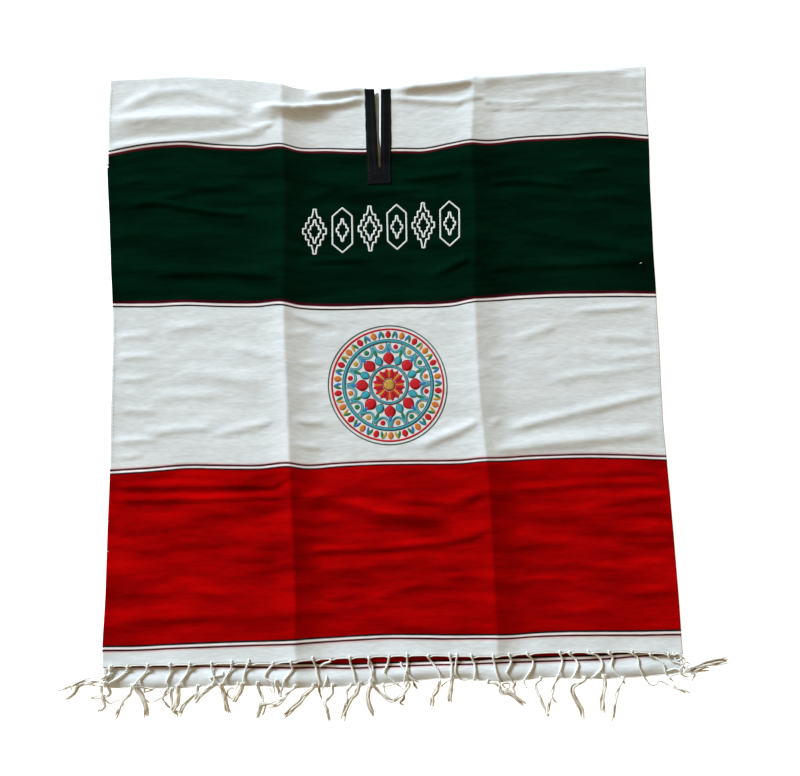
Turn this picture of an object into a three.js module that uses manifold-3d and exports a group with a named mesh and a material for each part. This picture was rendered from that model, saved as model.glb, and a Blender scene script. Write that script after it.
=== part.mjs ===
// A poncho laid flat: one woven length folded over the shoulders, its front on its back.
// Millimetres, +Z up. The origin is the middle of the underside, +X runs across the cloth
// and +Y runs up the cloth to the shoulder fold. The front hem stops short of the back hem.
import * as THREE from "three";
import { mergeVertices } from "three/addons/utils/BufferGeometryUtils.js";
import Module from "manifold-3d";

const wasm = await Module();
wasm.setup();

// Driving dimensions
const wall = 1.5; // the woven cloth
const layerGap = 0.5; // air between the two layers
const seamGap = 0.3; // between neighbouring pieces
const foldRadius = wall + layerGap / 2; // outer skin of the shoulder fold
const halfWidth = 512;
const frontLength = 1050; // nominal, from the fold to the front hem
const hemStep = 45; // nominal, from the front hem to the back hem
const creaseA = -180; // the two storage creases, as ironed lines of the flat cloth
const creaseB = 175;
const creaseLeftFlank = 28; // how far a crease's soft slopes run out
const creaseRightFlank = 36;

const tapeThickness = 1;
const tapeBelowFold = 185; // length of the neck tape on each side of the fold
const slitBelowFold = 157; // length of the head slit on each side of the fold
const slitMiddle = -4;
const slitHalfAtFold = 6;
const slitHalfAtEnd = 2;
const tapeHalf = 24;
const tapeMargin = 3; // the cloth stays raised this far past the tape
const neckEase = 46; // and takes this far to come down

const stripWidth = 4; // the knotted heading that carries the ties
const tiePitch = 34.5;
const tieCount = 30;
const tieWidth = 4;
const tieHeight = 2.4;
const tieRoot = 0.5; // share of its size that a tie has inside its heading
const tieTaper = 0.65; // and at its cut end
const tieSwing = 1.3; // a tie leans more the further it is from its root
const unevenReach = 7; // cut ends are this much longer or shorter than the table has them
const unevenTurn = 2.3; // radians from one tie's share of that to the next
const tieLift = 0.3; // a tie's clearance over what it lies on
const tieFall = 30; // past the back heading, how far a tie takes to reach the floor
const cornerWidth = 9;
const cornerHeight = 4;

// Lines down the cloth. y: station; left, right: side edges; a, b: the creases;
// riseA, riseB: how high each crease stands there.
const lines = [
  { y: -565, left: -510, a: -173, b: 180, right: 511, riseA: 7, riseB: 7 },
  { y: -490, left: -512, a: -174, b: 182, right: 513, riseA: 10, riseB: 9 },
  { y: -400, left: -510, a: -173, b: 180, right: 512, riseA: 11, riseB: 9 },
  { y: -175, left: -505, a: -180, b: 176, right: 506, riseA: 11, riseB: 8 },
  { y: -30, left: -502, a: -184, b: 167, right: 503, riseA: 10, riseB: 8 },
  { y: 130, left: -504, a: -188, b: 166, right: 505, riseA: 10, riseB: 8 },
  { y: 300, left: -511, a: -183, b: 172, right: 506, riseA: 11, riseB: 9 },
  { y: 430, left: -516, a: -186, b: 171, right: 511, riseA: 12, riseB: 10 },
  { y: 570, left: -513, a: -187, b: 182, right: 513, riseA: 12, riseB: 11 },
];

// Lines across the cloth. x: station; fold: the shoulder fold; front, back: the two hems.
const ends = [
  { x: -512, fold: 563, front: -524, back: -557 },
  { x: -430, fold: 566, front: -522, back: -560 },
  { x: -360, fold: 570, front: -522, back: -559 },
  { x: -290, fold: 563, front: -521, back: -560 },
  { x: -225, fold: 556, front: -519, back: -564 },
  { x: -187, fold: 551, front: -517, back: -566 },
  { x: -140, fold: 538, front: -517, back: -567 },
  { x: -80, fold: 537, front: -516, back: -567 },
  { x: 0, fold: 536, front: -514, back: -563 },
  { x: 60, fold: 540, front: -513, back: -560 },
  { x: 120, fold: 549, front: -514, back: -559 },
  { x: 180, fold: 559, front: -519, back: -567 },
  { x: 280, fold: 564, front: -518, back: -564 },
  { x: 370, fold: 568, front: -521, back: -568 },
  { x: 445, fold: 569, front: -526, back: -568 },
  { x: 512, fold: 571, front: -533, back: -563 },
];

// The largest soft folds: each runs from one point to another, rise high, with slopes reach wide.
const folds = [
  { x1: -505, y1: 440, x2: -385, y2: 457, rise: 6, reach: 34 },
  { x1: -385, y1: 457, x2: -215, y2: 470, rise: 7, reach: 32 },
  { x1: -495, y1: 526, x2: -340, y2: 543, rise: 5, reach: 28 },
  { x1: -165, y1: 503, x2: -60, y2: 516, rise: 6, reach: 26 },
  { x1: 48, y1: 514, x2: 112, y2: 503, rise: 5, reach: 24 },
  { x1: 112, y1: 503, x2: 190, y2: 516, rise: 5, reach: 24 },
  { x1: 215, y1: 510, x2: 500, y2: 490, rise: 5, reach: 28 },
  { x1: -490, y1: 330, x2: -250, y2: 299, rise: 4, reach: 40 },
  { x1: -325, y1: 200, x2: -205, y2: 168, rise: 4, reach: 38 },
  { x1: -165, y1: 101, x2: -95, y2: 76, rise: 5, reach: 36 },
  { x1: 313, y1: -127, x2: 484, y2: -186, rise: 5, reach: 48 },
  { x1: -492, y1: -195, x2: -200, y2: -230, rise: 5, reach: 40 },
  { x1: 75, y1: -268, x2: 165, y2: -300, rise: 4, reach: 40 },
];

// How the ties lie. x: station along the hem; lean: sideways travel from root to cut end;
// reach: how far below its own hem the cut end lies, for the front ties and the back ties.
const combing = [
  { x: -512, frontLean: -16, frontReach: 76, backLean: -40, backReach: 36 },
  { x: -440, frontLean: -4, frontReach: 90, backLean: -10, backReach: 54 },
  { x: -360, frontLean: 6, frontReach: 84, backLean: -2, backReach: 62 },
  { x: -250, frontLean: -6, frontReach: 98, backLean: -10, backReach: 66 },
  { x: -130, frontLean: -10, frontReach: 108, backLean: -12, backReach: 60 },
  { x: -20, frontLean: -4, frontReach: 96, backLean: -4, backReach: 52 },
  { x: 80, frontLean: 4, frontReach: 88, backLean: 2, backReach: 58 },
  { x: 200, frontLean: 8, frontReach: 92, backLean: 10, backReach: 60 },
  { x: 300, frontLean: 4, frontReach: 108, backLean: 0, backReach: 70 },
  { x: 400, frontLean: 2, frontReach: 112, backLean: -6, backReach: 74 },
  { x: 512, frontLean: 14, frontReach: 70, backLean: 34, backReach: 40 },
];

// The matted ties at the front corners. root: x at the hem; x, y: the cut end.
const corners = [
  { root: -498, x: -588, y: -562 },
  { root: 496, x: 590, y: -558 },
];

// Places of the grid lines across the flat cloth
const besideCrease = [-creaseLeftFlank, -13, -5, 0, 6, 16, creaseRightFlank];
const acrossTape = [
  slitMiddle - tapeHalf,
  slitMiddle - slitHalfAtFold,
  slitMiddle + slitHalfAtFold,
  slitMiddle + tapeHalf,
];
const across = [
  ...[-halfWidth, -470, -425, -380, -335, -290, -245],
  ...besideCrease.map((d) => creaseA + d),
  ...[-110, -70],
  ...acrossTape,
  ...[60, 100],
  ...besideCrease.map((d) => creaseB + d),
  ...[250, 290, 335, 380, 425, 470, halfWidth],
];

// A value read from a table between its rows, without corners: cubic, sloped by the neighbours.
function read(table, key, at, column) {
  const last = table.length - 1;
  const t = THREE.MathUtils.clamp(at, table[0][key], table[last][key]);
  let i = 0;
  while (i < last - 1 && t > table[i + 1][key]) i += 1;
  const slope = (k) => {
    const low = table[Math.max(k - 1, 0)];
    const high = table[Math.min(k + 1, last)];
    return (high[column] - low[column]) / (high[key] - low[key]);
  };
  const step = table[i + 1][key] - table[i][key];
  const s = (t - table[i][key]) / step;
  const ease = s * s * (3 - 2 * s);
  const start = s * (1 - s) * (1 - s) * slope(i);
  const end = s * s * (s - 1) * slope(i + 1);
  return THREE.MathUtils.lerp(table[i][column], table[i + 1][column], ease) + step * (start + end);
}

// Sideways shift of a flat cloth's point: shared out between the side edges, the creases
// and the slit, which stays where it is.
function drift(x, y) {
  const pulls = [
    { at: -halfWidth, by: read(lines, "y", y, "left") + halfWidth },
    { at: creaseA, by: read(lines, "y", y, "a") - creaseA },
    { at: slitMiddle, by: 0 },
    { at: creaseB, by: read(lines, "y", y, "b") - creaseB },
    { at: halfWidth, by: read(lines, "y", y, "right") - halfWidth },
  ];
  const held = THREE.MathUtils.clamp(x, -halfWidth, halfWidth);
  const i = Math.min(pulls.findLastIndex((pull) => held >= pull.at), pulls.length - 2);
  const share = (held - pulls[i].at) / (pulls[i + 1].at - pulls[i].at);
  return THREE.MathUtils.lerp(pulls[i].by, pulls[i + 1].by, share);
}

// A crease stands as a tent, steep at its ridge and running out flat.
function tent(offset, rise) {
  const flank = offset < 0 ? creaseLeftFlank : creaseRightFlank;
  const left = Math.max(0, 1 - Math.abs(offset) / flank);
  return rise * left * left;
}

// A soft fold is a bell across its line and fades over its own reach past each end.
function softFold(x, y, f) {
  const length = Math.hypot(f.x2 - f.x1, f.y2 - f.y1);
  const ux = (f.x2 - f.x1) / length;
  const uy = (f.y2 - f.y1) / length;
  const along = THREE.MathUtils.clamp((x - f.x1) * ux + (y - f.y1) * uy, 0, length);
  const away = Math.hypot(x - f.x1 - along * ux, y - f.y1 - along * uy) / f.reach;
  return away < 1 ? f.rise * (1 - away * away) ** 2 : 0;
}

// Round the neck both layers stand clear of the tape that lies under the back one.
function neckStand(x, y) {
  const beside = Math.max(0, Math.abs(x - slitMiddle) - tapeHalf - tapeMargin);
  const below = Math.max(0, read(ends, "x", 0, "fold") - tapeBelowFold - tapeMargin - y);
  const left = THREE.MathUtils.clamp(1 - Math.hypot(beside, below) / neckEase, 0, 1);
  return (seamGap + tapeThickness) * left * left * (3 - 2 * left);
}

// Height of the underside over the floor
function lift(x, y) {
  let z = tent(x - creaseA, read(lines, "y", y, "riseA")) + tent(x - creaseB, read(lines, "y", y, "riseB"));
  for (const fold of folds) z = Math.max(z, softFold(x, y, fold));
  return z + neckStand(x, y);
}

// The same, as the flat facets between the grid lines have it
function facetLift(x, y) {
  const i = THREE.MathUtils.clamp(across.findIndex((line) => line >= x), 1, across.length - 1);
  const share = (x - across[i - 1]) / (across[i] - across[i - 1]);
  return THREE.MathUtils.lerp(lift(across[i - 1], y), lift(across[i], y), share);
}

// Grid lines along the length. turn: -90 on the back layer, 90 on the front, between them
// round the fold; down: how far below the fold the line lies on the flat cloth.
const down = [
  ...[8, 18, 32, 48, 64, 80, 98, 116, 136, slitBelowFold, tapeBelowFold],
  ...[215, 250, 290, 335, 372, 404, 436, 475, 525, 580, 635],
  ...[685, 722, 756, 790, 830, 890, 955, 1010, frontLength],
];
const turns = [-90, -54, -18, 18, 54, 90];
const frontRows = down.map((d) => ({ turn: 90, down: d }));
const backRows = [...down, frontLength + hemStep / 2, frontLength + hemStep]
  .reverse()
  .map((d) => ({ turn: -90, down: d }));
const rows = [...backRows, ...turns.map((turn) => ({ turn, down: 0 })), ...frontRows];

// A point of the garment: x on the flat cloth, a row, and out, its height above the outer skin.
function skin(x, row, out) {
  const foldLine = read(ends, "x", x, "fold") - foldRadius;
  const front = read(ends, "x", x, "front");
  const back = read(ends, "x", x, "back");
  const onFront = Math.min(row.down / frontLength, 1);
  const pastFront = Math.max(row.down - frontLength, 0) / hemStep;
  const y = foldLine + (front - foldLine) * onFront + (back - front) * pastFront - (row.beyond ?? 0);
  const turn = THREE.MathUtils.degToRad(row.turn);
  const radius = foldRadius + out;
  return new THREE.Vector3(
    x + drift(x, y) + slitShift(x, row),
    y + radius * Math.cos(turn),
    foldRadius + radius * Math.sin(turn) + lift(x, y),
  );
}

// The slit's two edges close towards its ends, and ease back to their lines below them.
function slitShift(x, row) {
  const side = Math.sign(x - slitMiddle);
  if (Math.abs(Math.abs(x - slitMiddle) - slitHalfAtFold) > 0.1) return 0;
  const closed = Math.min(1, row.down / slitBelowFold);
  return -side * (slitHalfAtFold - slitHalfAtEnd) * closed;
}

const inSlit = (x, row) => Math.abs(x - slitMiddle) < slitHalfAtFold && row.down < slitBelowFold;

// A closed sheet on a grid of lines (x) and rows, between two heights off the outer skin.
// Cells that "open" picks are left out, and every rim gets its wall.
function sheet(xs, sheetRows, low, high, open = () => false) {
  const wide = xs.length;
  const points = [];
  for (const out of [high, low])
    for (const row of sheetRows) for (const x of xs) points.push(skin(x, row, out));
  const under = wide * sheetRows.length;
  const kept = (i, j) => {
    if (i < 0 || j < 0 || i >= wide - 1 || j >= sheetRows.length - 1) return false;
    const nearer = sheetRows[j].down < sheetRows[j + 1].down ? sheetRows[j] : sheetRows[j + 1];
    return !open((xs[i] + xs[i + 1]) / 2, nearer);
  };
  const faces = [];
  for (let j = 0; j < sheetRows.length - 1; j += 1)
    for (let i = 0; i < wide - 1; i += 1) {
      if (!kept(i, j)) continue;
      const a = j * wide + i;
      const b = a + wide;
      const c = b + 1;
      const d = a + 1;
      // Both layers split their cells along the same line, so that they nest.
      const onBack = sheetRows[j + 1].turn === -90;
      const halves = onBack ? [[a, b, d], [b, c, d]] : [[a, b, c], [a, c, d]];
      for (const [p, q, r] of halves) faces.push(p, q, r, p + under, r + under, q + under);
      const rims = [
        [a, b, kept(i - 1, j)],
        [b, c, kept(i, j + 1)],
        [c, d, kept(i + 1, j)],
        [d, a, kept(i, j - 1)],
      ];
      for (const [p, q, shared] of rims)
        if (!shared) faces.push(p, p + under, q + under, p, q + under, q);
    }
  const geometry = new THREE.BufferGeometry().setFromPoints(points);
  geometry.setIndex(faces);
  return geometry;
}

// One tie: a four-sided strand along centre points, with a width and a height at each.
function strand(path) {
  const points = [];
  path.forEach(({ at, width, height }, k) => {
    const next = path[Math.min(k + 1, path.length - 1)].at;
    const before = path[Math.max(k - 1, 0)].at;
    const heading = next.clone().sub(before).setZ(0).normalize();
    const side = new THREE.Vector3(-heading.y, heading.x, 0).multiplyScalar(width / 2);
    const up = new THREE.Vector3(0, 0, height / 2);
    points.push(at.clone().sub(side).sub(up), at.clone().add(side).sub(up));
    points.push(at.clone().add(side).add(up), at.clone().sub(side).add(up));
  });
  const faces = [0, 2, 1, 0, 3, 2];
  for (let k = 0; k < path.length - 1; k += 1)
    for (let s = 0; s < 4; s += 1) {
      const a = 4 * k + s;
      const b = 4 * k + ((s + 1) % 4);
      faces.push(a, b + 4, a + 4, a, b, b + 4);
    }
  const e = points.length - 4;
  faces.push(e, e + 1, e + 2, e, e + 2, e + 3);
  const geometry = new THREE.BufferGeometry().setFromPoints(points);
  geometry.setIndex(faces);
  return geometry;
}

// The course of a tie from its root at a hem. It lies on the back layer up to the back hem,
// then comes down to the floor.
function tiePath(root, tip, hemSide, width, height) {
  const onFront = hemSide === "front";
  const steps = onFront ? [0, 0.1, 0.3, 0.5, 0.68, 0.84, 1] : [0, 0.16, 0.4, 0.7, 1];
  const rootZ = (onFront ? 2 * foldRadius : wall) - wall / 2;
  return steps.map((s) => {
    const y = THREE.MathUtils.lerp(root.y, tip.y, s);
    const x = root.x + (tip.x - root.x) * s ** tieSwing;
    const size = s === 0 ? tieRoot : THREE.MathUtils.lerp(1, tieTaper, s);
    const backHem = read(ends, "x", x, "back");
    const clearOfStrip = backHem - stripWidth - 2 * seamGap - width / 2;
    const past = THREE.MathUtils.clamp((clearOfStrip - y) / tieFall, 0, 1);
    const rest = onFront ? THREE.MathUtils.lerp(wall, 0, past) : 0;
    const z = s === 0 ? rootZ : rest + tieLift + (height * size) / 2;
    const edges = [x - width / 2, x + width / 2].map((e) => facetLift(e, Math.max(y, backHem)));
    const raised = (s === 0 ? facetLift(x, y) : Math.max(...edges)) * (1 - past);
    const at = new THREE.Vector3(x + drift(x, y), y, z + raised);
    return { at, width: width * size, height: height * size };
  });
}

// The heading strip of one hem with its ties joined on
function fringe(hemSide) {
  const onFront = hemSide === "front";
  const base = onFront ? { turn: 90, down: frontLength } : { turn: -90, down: frontLength + hemStep };
  const near = { ...base, beyond: seamGap };
  const far = { ...base, beyond: seamGap + stripWidth };
  const order = onFront ? [near, far] : [far, near];
  let solid = toSolid(sheet(across, order, -wall, 0));
  const hemY = (x) => read(ends, "x", x, hemSide) - seamGap - stripWidth / 2;
  const shift = onFront ? 0 : tiePitch / 2;
  const count = onFront ? tieCount : tieCount - 1;
  for (let k = 0; k < count; k += 1) {
    const x = (k - (tieCount - 1) / 2) * tiePitch + shift;
    const root = { x, y: hemY(x) };
    const lean = read(combing, "x", x, hemSide + "Lean");
    const reach = read(combing, "x", x, hemSide + "Reach") + unevenReach * Math.sin(unevenTurn * k);
    const tip = { x: x + lean, y: root.y - reach };
    solid = solid.add(toSolid(strand(tiePath(root, tip, hemSide, tieWidth, tieHeight))));
  }
  if (onFront)
    for (const corner of corners) {
      const root = { x: corner.root, y: hemY(corner.root) };
      solid = solid.add(toSolid(strand(tiePath(root, corner, hemSide, cornerWidth, cornerHeight))));
    }
  return toGeometry(solid);
}

function toSolid(geometry) {
  const merged = mergeVertices(geometry.clone(), 1e-3);
  return new wasm.Manifold(new wasm.Mesh({
    numProp: 3,
    vertProperties: merged.attributes.position.array,
    triVerts: new Uint32Array(merged.index.array),
  }));
}

function toGeometry(solid) {
  const mesh = solid.getMesh();
  const geometry = new THREE.BufferGeometry();
  geometry.setAttribute("position", new THREE.BufferAttribute(mesh.vertProperties, 3));
  geometry.setIndex(new THREE.BufferAttribute(mesh.triVerts, 1));
  return geometry;
}

const finishes = {
  cloth: new THREE.MeshStandardMaterial({ color: 0xdedfe0, roughness: 0.9, metalness: 0 }),
  tape: new THREE.MeshStandardMaterial({ color: 0x15171a, roughness: 0.75, metalness: 0 }),
  ties: new THREE.MeshStandardMaterial({ color: 0xe4dccb, roughness: 0.95, metalness: 0 }),
};

const poncho = new THREE.Group();

function add(name, geometry, finish) {
  const mesh = new THREE.Mesh(geometry, finishes[finish]);
  mesh.name = name;
  poncho.add(mesh);
}

// The woven length is parted at the slit's edges and at its two ends, so that no piece spans
// the slit: a shoulder on each side of it, and one layer below it at the front and the back.
const shoulderRows = rows.filter((row) => row.down <= slitBelowFold);
const leftOfSlit = across.filter((x) => x < slitMiddle);
const rightOfSlit = across.filter((x) => x > slitMiddle);
add("woven_shoulder_left", sheet(leftOfSlit, shoulderRows, -wall, 0), "cloth");
add("woven_shoulder_right", sheet(rightOfSlit, shoulderRows, -wall, 0), "cloth");

function belowSlit(layer) {
  const kept = layer.filter((row) => row.down >= slitBelowFold);
  return kept.map((row) => (row.down === slitBelowFold ? { ...row, beyond: seamGap } : row));
}
add("woven_front", sheet(across, belowSlit(frontRows), -wall, 0), "cloth");
add("woven_back", sheet(across, belowSlit(backRows), -wall, 0), "cloth");

// The tape lies on the cloth's own grid, so it follows the cloth over the fold.
const tapeRows = rows.filter((row) => row.down <= tapeBelowFold);
add("neck_tape", sheet(acrossTape, tapeRows, seamGap, seamGap + tapeThickness, inSlit), "tape");

add("front_fringe", fringe("front"), "ties");
add("back_fringe", fringe("back"), "ties");

export default poncho;
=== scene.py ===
import bpy
import numpy as np
from mathutils import Matrix


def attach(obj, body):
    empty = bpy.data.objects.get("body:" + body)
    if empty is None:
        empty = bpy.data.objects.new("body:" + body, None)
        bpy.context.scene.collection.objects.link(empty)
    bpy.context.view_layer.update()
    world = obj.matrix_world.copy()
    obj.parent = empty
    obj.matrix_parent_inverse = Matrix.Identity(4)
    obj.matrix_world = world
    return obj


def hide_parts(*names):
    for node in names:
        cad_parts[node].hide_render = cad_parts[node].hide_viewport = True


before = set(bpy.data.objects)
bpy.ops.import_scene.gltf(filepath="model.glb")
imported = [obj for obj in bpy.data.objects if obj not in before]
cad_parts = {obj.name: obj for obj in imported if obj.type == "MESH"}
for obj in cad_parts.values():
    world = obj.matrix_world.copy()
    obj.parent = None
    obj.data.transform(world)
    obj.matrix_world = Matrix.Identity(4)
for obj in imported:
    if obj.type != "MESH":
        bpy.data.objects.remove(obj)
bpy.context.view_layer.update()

# A banded poncho laid flat, its front on its back. Lengths are in millimetres until a mesh is made.
# u runs across the flat cloth, down runs along it from the shoulder fold, x, y and z are the frame's.
mm = 0.001
print("frame loaded")


# The view, fitted to the edges and stripes of the photographed cloth: metres and degrees
view = {
    "eye": (-0.00684, -0.29542, 1.81837),
    "tilt": 7.9601,
    "roll": -0.7273,
    "yaw": -1.4689,
    "lens": 45.0,
    "sensor": 36.0,
}


def makeCamera(name):
    ct, st = np.cos(np.radians(view["tilt"])), np.sin(np.radians(view["tilt"]))
    cr, sr = np.cos(np.radians(view["roll"])), np.sin(np.radians(view["roll"]))
    cy, sy = np.cos(np.radians(view["yaw"])), np.sin(np.radians(view["yaw"]))
    yawed = np.array([[cy, sy, 0], [-sy, cy, 0], [0, 0, 1]])
    tilted = np.array([[1, 0, 0], [0, ct, st], [0, -st, ct]])
    rolled = np.array([[cr, 0, -sr], [0, 1, 0], [sr, 0, cr]])
    data = bpy.data.cameras.new(name)
    data.lens = view["lens"]
    data.sensor_width = view["sensor"]
    data.sensor_fit = "HORIZONTAL"
    data.clip_end = 50
    camera = bpy.data.objects.new(name, data)
    bpy.context.collection.objects.link(camera)
    facing = Matrix((rolled @ tilted @ yawed).T.tolist()).to_4x4()
    camera.matrix_world = Matrix.Translation(view["eye"]) @ facing
    bpy.context.scene.camera = camera


makeCamera("camera")


# Light: a cool soft key from the upper left, and a warmer even fill
light = {
    "keyFrom": (-11.4, 11.4, 7.4),
    "keySize": 4.5,
    "keyPower": 5750,
    "keyColour": (0.70, 0.85, 1.0),
    "fillColour": (1.0, 0.78, 0.45),
    "fill": 0.31,
    "floorColour": (0.93, 0.93, 0.93, 1),
    "floorGlow": 0.85,
}


def areaLight(name, place, size, power, colour):
    data = bpy.data.lights.new(name, "AREA")
    data.energy = power
    data.size = size
    data.color = colour
    lamp = bpy.data.objects.new(name, data)
    bpy.context.collection.objects.link(lamp)
    away = Matrix.Translation(place).to_translation()
    lamp.matrix_world = Matrix.Translation(place) @ away.to_track_quat("Z", "Y").to_matrix().to_4x4()


def makeFloor():
    mesh = bpy.data.meshes.new("floor")
    half = 4.0
    corners = [(-half, -half, 0), (half, -half, 0), (half, half, 0), (-half, half, 0)]
    mesh.from_pydata([(x, y, -0.0004) for x, y, z in corners], [], [(0, 1, 2, 3)])
    floor = bpy.data.objects.new("floor", mesh)
    bpy.context.collection.objects.link(floor)
    paint = bpy.data.materials.new("paleFloor")
    paint.use_nodes = True
    shader = paint.node_tree.nodes["Principled BSDF"]
    shader.inputs["Base Color"].default_value = light["floorColour"]
    shader.inputs["Roughness"].default_value = 0.9
    shader.inputs["Specular IOR Level"].default_value = 0.0
    shader.inputs["Emission Color"].default_value = (1, 1, 1, 1)
    shader.inputs["Emission Strength"].default_value = light["floorGlow"]
    mesh.materials.append(paint)


def makeLight():
    areaLight("key", light["keyFrom"], light["keySize"], light["keyPower"], light["keyColour"])
    world = bpy.data.worlds.new("room")
    world.use_nodes = True
    world.node_tree.nodes["Background"].inputs["Color"].default_value = (*light["fillColour"], 1)
    world.node_tree.nodes["Background"].inputs["Strength"].default_value = light["fill"]
    bpy.context.scene.world = world
    bpy.context.scene.view_settings.view_transform = "Standard"


makeFloor()
makeLight()
print("camera, floor and light made")


# The cloth's cut and lay. The two storage creases are lines of the flat cloth.
cloth = {
    "halfWidth": 512,
    "wall": 1.5,
    "layerGap": 0.5,
    "creaseA": -180,
    "creaseB": 175,
    "leftFlank": 50,
    "rightFlank": 56,
    "climb": 300,  # how far to the left of a crease the cloth begins to climb
    "climbShare": 0.6,
    "backShare": 0.3,  # how much of the front's broad folds the back layer has
    "peek": 3.5,  # how far the back shows past the front's left edge
    "peekAt": 385,
    "peekReach": 125,
    "peekWidth": 132,
}
foldRadius = cloth["wall"] + cloth["layerGap"] / 2

# The head slit, open on the front and nearly shut on the back
slit = {
    "middle": -4,
    "halfAtFold": 6,
    "halfAtEnd": 2,
    "down": 164.5,
    "shift": 10,  # how far to the left the back's slit lies
    "shiftRun": 14,
    "shut": 0.4,
    "rise": 3.6,
    "riseReach": 34,
    "riseFrom": 350,
    "riseRun": 60,
    "dip": 3.2,
    "dipReach": 40,
    "bareEdge": 2.8,
    "bareTo": 128,
    "bareRun": 26,
    "bareStart": 6,
}

# Where both layers stand clear of the tape that lies under the back one, and how they ease off round it
neck = {"lift": 1.3, "half": 27, "low": 348, "ease": 46}

# The front hem stands up and is pulled out at its ties, and the back hem rolls.
hem = {
    "rise": 3.8,
    "reach": 42,
    "pull": 1.9,
    "pullReach": 9,
    "held": 0.4,
    "roll": 5.2,
    "rollAt": 15,
    "rollReach": 17,
}

# Where the ties leave the front hem
tieRoots = [-498, -469, -434, -394, -360, -322, -286, -256, -214, -182, -144, -113, -79, -46, -10, 22, 59,
            97, 135, 173, 202, 234, 292, 309, 342, 379, 420, 452, 484]

# Where the stripe groups and hems lie along the flat cloth
bands = {"group": [130, 437, 744, 1051], "front": 1084, "backShift": 44, "back": 1134}

# Lines across the cloth, from left to right. Each column is a y.
across = {
    "x": [-512, -435, -370, -302, -236, -187, -150, -95, -28, 45, 85, 131, 168, 207, 265, 355, 430, 512],
    "fold": [565, 567, 569, 564, 557, 549, 540, 538, 538, 538, 547, 550, 554, 559, 563, 567, 569, 571],
    "group1": [416, 428, 431, 424, 420, 422, 414, 413, 409, 409, 408, 416, 421, 421, 427, 429, 432, 424],
    "group2": [124, 121, 122, 119, 116, 118, 111, 108, 108, 108, 107, 108, 114, 117, 120, 121, 120, 117],
    "group3": [-186, -183, -179, -182, -184, -181, -186, -184, -182, -183, -184, -184, -182, -182, -180,
               -179, -182, -187],
    "group4": [-495, -496, -495, -494, -494, -493, -492, -491, -489, -490, -492, -493, -494, -495, -493,
               -494, -496, -497],
    "backGroup": [-523, -525, -527, -529, -532, -534, -535, -538, -538, -537, -537, -537, -536, -536, -536,
                  -536, -533, -530],
    "front": [-525, -525, -526, -526, -528, -526, -524, -523, -522, -522, -524, -526, -527, -526, -524,
              -526, -528, -535],
    "back": [-560, -565, -565, -563, -566, -570, -571, -571, -569, -564, -562, -565, -570, -570, -567,
             -571, -570, -565],
}

# Lines down the cloth, from the back hem up: the side edges, the creases and how high these stand
downward = {
    "y": [-570, -530, -490, -400, -300, -190, -110, -30, 60, 130, 210, 280, 340, 430, 500, 570],
    "left": [-510, -513, -514, -510, -508, -505, -505, -504, -503, -504, -508, -511, -513, -515, -516, -513],
    "a": [-173, -173, -174, -173, -176, -180, -182, -184, -187, -188, -186, -184, -183, -186, -187, -187],
    "b": [180, 181, 182, 180, 179, 176, 171, 167, 166, 166, 169, 172, 172, 171, 177, 182],
    "right": [510, 511, 511, 510, 508, 505, 503, 504, 505, 505, 505, 506, 507, 510, 510, 513],
    "riseA": [6, 7, 9.5, 13, 14, 12.5, 10, 9.5, 9.5, 9.5, 10, 10.5, 10.5, 9.5, 8.5, 8],
    "riseB": [6, 7, 9, 11.5, 12, 10.5, 8.5, 8, 8, 8, 9, 9, 9, 8.5, 8, 8],
}

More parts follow.
